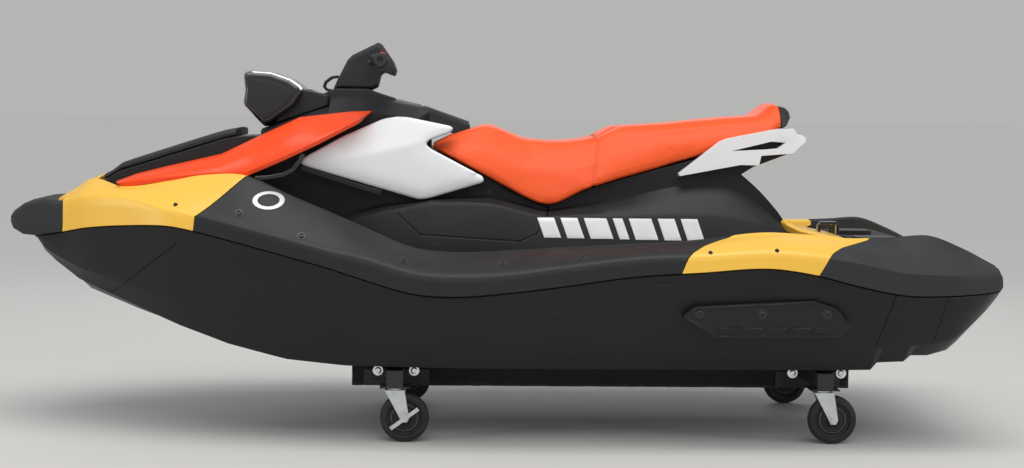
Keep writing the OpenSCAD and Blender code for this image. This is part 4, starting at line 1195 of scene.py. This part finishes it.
def settingTree():
    # sets one part out on points, each turned to face along a stored direction
    g = bpy.data.node_groups.new("settingOut", "GeometryNodeTree")
    face = g.interface
    face.new_socket("Geometry", in_out="INPUT", socket_type="NodeSocketGeometry")
    for label, kind, value in (("Part", "NodeSocketObject", None), ("Twist", "NodeSocketFloat", 3.1),
                               ("Seed", "NodeSocketInt", 5),
                               ("Material", "NodeSocketMaterial", None)):
        socket = face.new_socket(label, in_out="INPUT", socket_type=kind)
        if value is not None:
            socket.default_value = value
    face.new_socket("Geometry", in_out="OUTPUT", socket_type="NodeSocketGeometry")
    t = Tree(g)
    start, end = t.add("NodeGroupInput"), t.add("NodeGroupOutput")
    part = t.add("GeometryNodeObjectInfo")
    way = t.add("GeometryNodeInputNamedAttribute", data_type="FLOAT_VECTOR")
    way.inputs["Name"].default_value = "facing"
    turn = t.add("FunctionNodeAlignRotationToVector", axis="Z")
    spin = t.add("FunctionNodeRandomValue", data_type="FLOAT")
    local = t.add("FunctionNodeRotateRotation", rotation_space="LOCAL")
    about = t.add("FunctionNodeAxisAngleToRotation")
    setOut = t.add("GeometryNodeInstanceOnPoints")
    real, dress = t.add("GeometryNodeRealizeInstances"), t.add("GeometryNodeSetMaterial")
    t.put(part.inputs["Object"], start.outputs["Part"])
    t.put(turn.inputs["Vector"], way.outputs[0])
    t.put(spin.inputs[3], start.outputs["Twist"])
    t.put(spin.inputs["Seed"], start.outputs["Seed"])
    t.put(about.inputs["Angle"], spin.outputs[1])
    t.put(local.inputs[0], turn.outputs[0])
    t.put(local.inputs[1], about.outputs[0])
    t.put(setOut.inputs["Points"], start.outputs["Geometry"])
    t.put(setOut.inputs["Instance"], part.outputs["Geometry"])
    t.put(setOut.inputs["Rotation"], local.outputs[0])
    t.put(real.inputs[0], setOut.outputs[0])
    t.put(dress.inputs["Geometry"], real.outputs[0])
    t.put(dress.inputs["Material"], start.outputs["Material"])
    t.put(end.inputs[0], dress.outputs[0])
    return g


settingOut = settingTree()


def partMesh(name, rings):
    # (radius, height, six sided) rings turned about the upright axis, closed at both ends
    points, faces, n = [], [], 24
    for radius, height, six in rings:
        for k in range(n):
            a = 2 * math.pi * k / n
            r = radius
            if six:
                r = radius * math.cos(math.pi / 6) / math.cos((a + math.pi / 6) % (math.pi / 3) - math.pi / 6)
            points.append((r * math.cos(a), r * math.sin(a), height))
    for k in range(len(rings) - 1):
        for j in range(n):
            i = (j + 1) % n
            faces.append((k * n + j, k * n + i, (k + 1) * n + i, (k + 1) * n + j))
    faces += [tuple(reversed(range(n))), tuple(range((len(rings) - 1) * n, len(rings) * n))]
    return bpy.data.objects.new(name, meshFrom(name, points, faces, angle=35))


screwSizes = {"sink": .0006}


def screwPart(name, r, washer):
    rings = [(washer, -.002, False), (washer, .0009, False), (washer * .95, .0016, False), (r * 1.02, .0017, False),
             (r, .0021, False),
             (r * .96, .0050, False), (r * .82, .0060, False), (r * .52, .0061, True), (r * .48, .0026, True)]
    return partMesh(name, rings)


def scatter(name, part, spots, material, body="craft", twist=3.1, seed=5):
    mesh = bpy.data.meshes.new(name + "_spots")
    mesh.from_pydata([p - n * screwSizes["sink"] for p, n in spots], [], [])
    field = mesh.attributes.new("facing", "FLOAT_VECTOR", "POINT")
    for k, (p, n) in enumerate(spots):
        field.data[k].vector = n
    view.collection.objects.link(part)
    done = grow(settingOut, {"Part": part, "Twist": twist, "Seed": seed, "Material": paint[material]}, mesh)
    bpy.data.objects.remove(part)
    return placeMesh(name, done, material, body)


def screws(name, host, head, washer, places, material="black_metal", seed=5):
    spots = [touch(host, x, z, sign) for sign in (1, -1) for x, z in places]
    scatter(name, screwPart(name + "_part", head, washer), spots, material, seed=seed)


sides = (("left", 1), ("right", -1))
rimTree = hostTree([f"{side}_{piece}_skin" for side, sign in sides for piece in ("gunwale", "rear_panel")]
                   + ["bow_panel_left", "bow_panel_right"])
spineTree = hostTree(["deck_skin"])
finTree = hostTree(["left_stabilizer_skin", "right_stabilizer_skin"])
dollyTree = hostTree(["dolly_frame_skin"])
seatTree = hostTree(["seat_pad"])
# places are x and z on the side of the craft
spots = {"rim": [(.766, .698), (.578, .636), (.278, .566), (-.015, .560), (-.249, .580), (-.481, .604)],
         "clips": [(.959, .718), (-.623, .602), (-.819, .610)], "spine": [(.019, .752)],
         "fin": [(-.595, .422), (-.781, .420), (-.974, .422)],
         "bracket": [(.357, .207), (.246, .207), (-.930, .207), (-1.082, .207)]}
screws("rim_screws", rimTree, .0088, .0140, spots["rim"])
screws("panel_clips", rimTree, .0045, .0070, spots["clips"], seed=2)

# two rows of thread beside the seat's cross seam, in millimetres
stitch = {"rows": (-316.5, -323.5), "gap": 5, "low": 796, "high": 905, "reach": 150, "shift": 4}
threads = []
for at in stitch["rows"]:
    for sign in (1, -1):
        for z in range(stitch["low"], stitch["high"], stitch["gap"]):
            threads.append(touch(seatTree, (at - (z - 900) * .08 + stitch["shift"]) / 1000, z / 1000, sign))
    for y in range(-stitch["reach"], stitch["reach"] + 1, stitch["gap"]):
        above = Vector(((at + abs(y) * .02) / 1000, y / 1000, 1.1))
        where, facing, face, far = seatTree.ray_cast(above, Vector((0, 0, -1)))
        threads.append((where, facing))
bead = partMesh("stitch", [(.0006, -.0010, False), (.0011, .0000, False), (.0011, .0006, False),
                           (.0006, .0012, False)])
scatter("seat_stitches", bead, [q for q in threads if q[0] is not None], "soft_plastic", "seat_unit", seed=4)
screws("spine_screws", spineTree, .0080, .0115, spots["spine"])
screws("fin_screws", finTree, .0085, .0150, spots["fin"], seed=9)
screws("bracket_bolts", dollyTree, .0105, .0165, spots["bracket"], "stainless", 3)
print("screws")

# bars are x of the front edge and width
marks = {"bars": [(-.150, .052), (-.222, .052), (-.294, .070), (-.384, .030), (-.434, .070), (-.524, .052),
                  (-.596, .052)],
         "foot": .622, "drop": .0012, "top": .682, "lean": .022, "barLift": .0026,
         "disc": (.682, .734), "discSize": (.047, .026), "discLift": .0016, "centre": .74, "centreLift": .0022}
slats = {"count": 5, "first": -.648, "apart": .070, "low": .366, "high": .381, "lift": .0034,
         "foot": (0, .030, .060), "middle": .064, "head": (.070, .040, .010), "back": .004}


def ellipse(cx, cz, rx, rz):
    return [(cx + rx * math.cos(math.pi * k / 16), cz + rz * math.sin(math.pi * k / 16)) for k in range(32)]


for side, sign in sides:
    for k, (x, wide) in enumerate(marks["bars"]):
        lean, low, high = marks["lean"], marks["foot"] - marks["drop"] * k, marks["top"]
        middle = (low + high) / 2
        shape = [(x, low), (x - wide * .5, low), (x - wide, low), (x - wide + lean * .5, middle),
                 (x - wide + lean, high), (x - wide * .5 + lean, high), (x + lean, high), (x + lean * .5, middle)]
        fine = [tuple(Vector(a).lerp(Vector(c), j / 4)) for a, c in zip(shape, shape[1:] + shape[:1])
                for j in range(4)]
        draped(f"{side}_bar_{k}", spineTree, fine, sign, "print_white", marks["barLift"])
    (cx, cz), (rx, rz), share = marks["disc"], marks["discSize"], marks["centre"]
    draped(f"{side}_disc", rimTree, ellipse(cx, cz, rx, rz), sign, "silver_badge", marks["discLift"])
    draped(f"{side}_disc_centre", rimTree, ellipse(cx, cz, rx * share, rz * share), sign, "black_plastic",
           marks["centreLift"])
    for k in range(slats["count"]):
        x, low, high = slats["first"] - slats["apart"] * k, slats["low"], slats["high"]
        slat = ([(x - d, low) for d in slats["foot"]] + [(x - slats["middle"], (low + high) / 2)]
                + [(x - d, high) for d in slats["head"]] + [(x - slats["back"], (low + high) / 2)])
        draped(f"{side}_fin_slat_{k}", finTree, slat, sign, "black_plastic", slats["lift"])
print("marks")


def bentBar(name, points, wide, deep, material, body="craft", rounding=.0025):
    # bar of one width and depth along a run of points
    rings = []
    for k, p in enumerate(points):
        a, c = Vector(points[max(0, k - 1)]), Vector(points[min(len(points) - 1, k + 1)])
        t = (c - a).normalized()
        side = Vector((0, 1, 0)) if abs(t.y) < .9 else Vector((1, 0, 0))
        up = t.cross(side).normalized()
        side = up.cross(t).normalized()
        rings.append([tuple(Vector(p) + side * (i * wide / 2) + up * (j * deep / 2))
                      for i, j in ((1, 1), (1, -1), (-1, -1), (-1, 1))])
    return loftPiece(name, rings, material, 40, (rounding, 3, 30), body)


hoodStrut = {"run": [(.735, .315, .795), (.700, .312, .797), (.650, .300, .806), (.620, .296, .822),
                     (.600, .290, .850), (.592, .286, .872)], "wide": .012, "deep": .014}
crossStrut = {"run": [(.600, .262, .826), (.520, .258, .802), (.430, .256, .774), (.352, .258, .752)],
              "wide": .016, "deep": .016}
for side, s in sides:
    for piece, form, finish in (("hood_strut", hoodStrut, "gloss_black"),
                                ("cross_strut", crossStrut, "black_plastic")):
        bentBar(f"{side}_{piece}", [(x, s * y, z) for x, y, z in form["run"]], form["wide"], form["deep"], finish)

# ramp is x, height and half width
ramp = [(-.874, .690, .170), (-.892, .686, .190), (-.918, .672, .222), (-.956, .654, .226), (-1.030, .636, .228),
        (-1.108, .621, .224)]
rings = [[(x, y, z) for y, z in
          ((-w, z - .010), (-w + .006, z), (-w * .5, z + .002), (0, z + .003), (w * .5, z + .002), (w - .006, z),
           (w, z - .010), (w - .01, z - .030), (-w + .01, z - .030))] for x, z, w in ramp]
loftPiece("stern_ramp", rings, "yellow_plastic", 40, (.003, 3, 34))
sternHandle = {"y": .10, "run": [(-1.044, .628), (-1.044, .656), (-1.050, .664), (-1.098, .664), (-1.104, .656),
                                 (-1.104, .628)], "wide": .022, "deep": .010}
bentBar("stern_handle", [(x, sternHandle["y"], z) for x, z in sternHandle["run"]], sternHandle["wide"],
        sternHandle["deep"], "gloss_black")
sternBlock = {"y": .16, "half": .05, "z": .606, "tall": .020,
              "steps": ((-1.150, .8), (-1.165, 1), (-1.250, 1), (-1.270, .8))}
for side, s in sides:
    y, half, z, tall = (sternBlock[k] for k in ("y", "half", "z", "tall"))
    loftPiece(f"{side}_stern_block", [[(x, s * y + a * half * w, z + h) for a, h in
                                       ((-1, 0), (-1, tall), (1, tall), (1, 0))] for x, w in sternBlock["steps"]],
              "black_plastic", 40, (.003, 3, 34))

# round skirt on the steering column's axis
skirt = {"profile": [(.0242, .0140), (.036, .0195), (.050, .0260), (.0505, .0330), (.044, .045), (.0242, .055)],
         "centre": (.462, 0, 1.056), "axis": (-.3746, 0, .9272)}
revolve("column_skirt", skirt["profile"] + skirt["profile"][:1], skirt["centre"], skirt["axis"], "soft_plastic",
        "steering", segments=48, angle=40)
cheek = {"outline": [(.575, 1.020), (.566, 1.044), (.524, 1.066), (.505, 1.0725), (.402, 1.0725), (.372, 1.062),
                     (.320, 1.046), (.300, 1.030), (.300, 1.010), (.575, 1.000)],
         "steps": ((.0785, 0), (.0825, 0), (.0865, .002))}
# painted shade: dark blocks beside the console's tail, ahead of the seat's nose, in the painted shadow-gap black
noseShadeBlock = {"outline": [(.2065, .868), (.2065, .925), (.236, .945), (.250, .900), (.236, .860)],
            "steps": (.112, .199)}
switch = {"profile": [(0, -.004), (.0078, -.004), (.0082, .0030), (.0070, .0042), (0, .0046)],
          "centre": (.352, .2300, 1.1800), "axis": (-.35, 0, .94)}
for side, s in sides:
    loftPiece(f"{side}_column_cheek", [[(x, s * y, z - d) for x, z in cheek["outline"]] for y, d in cheek["steps"]],
              "soft_plastic", 34, (.0016, 3, 30), slotName="black_plastic")
    loftPiece(f"{side}_nose_stop", [[(x, s * y, z) for x, z in noseShadeBlock["outline"]] for y in noseShadeBlock["steps"]],
              "painted_shadow_gap", 34, (.002, 2, 30), slotName="black_plastic")
    x, y, z = switch["centre"]
    revolve(f"{side}_switch", switch["profile"], (x, s * y, z), switch["axis"], "red_switch", "steering",
            slotName="gloss_black", segments=28)
guard = {"outline": [(.566, 1.030), (.570, 1.062), (.590, 1.070), (.616, 1.066), (.640, 1.046), (.636, 1.020),
                     (.570, 1.010)], "steps": (-.052, -.046, .046, .052)}
loftPiece("cable_guard", [[(x, y, z) for x, z in guard["outline"]] for y in guard["steps"]],
          "soft_plastic", 34, (.002, 3, 30), slotName="black_plastic")
# the run is x, share of the hose's own y, and height
hoses = {"y": (-.012, .004, .018), "thick": .009, "rounding": .003,
         "run": [(.500, 1, 1.112), (.522, 1, 1.108), (.540, 1, 1.094), (.546, .9, 1.080), (.538, .8, 1.0695),
                 (.520, .8, 1.0665), (.498, .8, 1.0665)]}
for k, y in enumerate(hoses["y"]):
    bentBar(f"steering_hose_{k}", [(x, y * share, z) for x, share, z in hoses["run"]], hoses["thick"],
            hoses["thick"], "grip_rubber", "steering", hoses["rounding"])
print("fittings")

# finish

placeCamera()
floor = bpy.data.meshes.new("floor")
s = studio["floorSize"] / 2
floor.from_pydata([(-s, -s, 0), (s, -s, 0), (s, s, 0), (-s, s, 0)], [], [(0, 1, 2, 3)])
ground = bpy.data.objects.new("floor", floor)
view.collection.objects.link(ground)
pale = bpy.data.materials.new("paleFloor")
pale.use_nodes = True
pale.node_tree.nodes["Principled BSDF"].inputs["Base Color"].default_value = (0.62, 0.60, 0.57, 1)
pale.node_tree.nodes["Principled BSDF"].inputs["Roughness"].default_value = 0.85
floor.materials.append(pale)
world = bpy.data.worlds.new("studio")
world.use_nodes = True
view.world = world
lightTree = Tree(world.node_tree)
soft = world.node_tree.nodes["Background"]
soft.inputs["Color"].default_value = (0.90, 0.94, 1.0, 1)
soft.inputs["Strength"].default_value = studio["world"]
seen, both, ray = (lightTree.add(k) for k in ("ShaderNodeBackground", "ShaderNodeMixShader", "ShaderNodeLightPath"))
seen.inputs["Color"].default_value = (0.466, 0.464, 0.458, 1)
lightTree.put(both.inputs[0], ray.outputs["Is Camera Ray"])
lightTree.put(both.inputs[1], soft.outputs[0])
lightTree.put(both.inputs[2], seen.outputs[0])
lightTree.put(world.node_tree.nodes["World Output"].inputs["Surface"], both.outputs[0])
# name: place, aim, size, watts
lamps = {"overhead": ((0.0, 1.2, 4.2), (0, 0, .4), (4.6, 1.4), 55),
         "front": ((0.4, 4.8, 2.7), (0, 0, .5), (3.6, .8), 22),
         "bowSide": ((4.2, 2.2, 1.8), (.6, 0, .5), (.9, 1.6), 22),
         "sternSide": ((-4.4, 1.8, 1.9), (-.8, 0, .5), (.9, 1.6), 22),
         "behind": ((-.4, -4.2, 2.6), (0, 0, .5), (3.6, 1.0), 24)}
for name, (place, aim, size, watts) in lamps.items():
    addLamp(name, place, aim, size, watts)
sky = bpy.data.objects.new("skylight", bpy.data.lights.new("skylight", "SUN"))
sky.data.energy, sky.data.angle = 1.30, math.radians(55)
sky.rotation_euler = (math.radians(-24), math.radians(-6), 0)
view.collection.objects.link(sky)
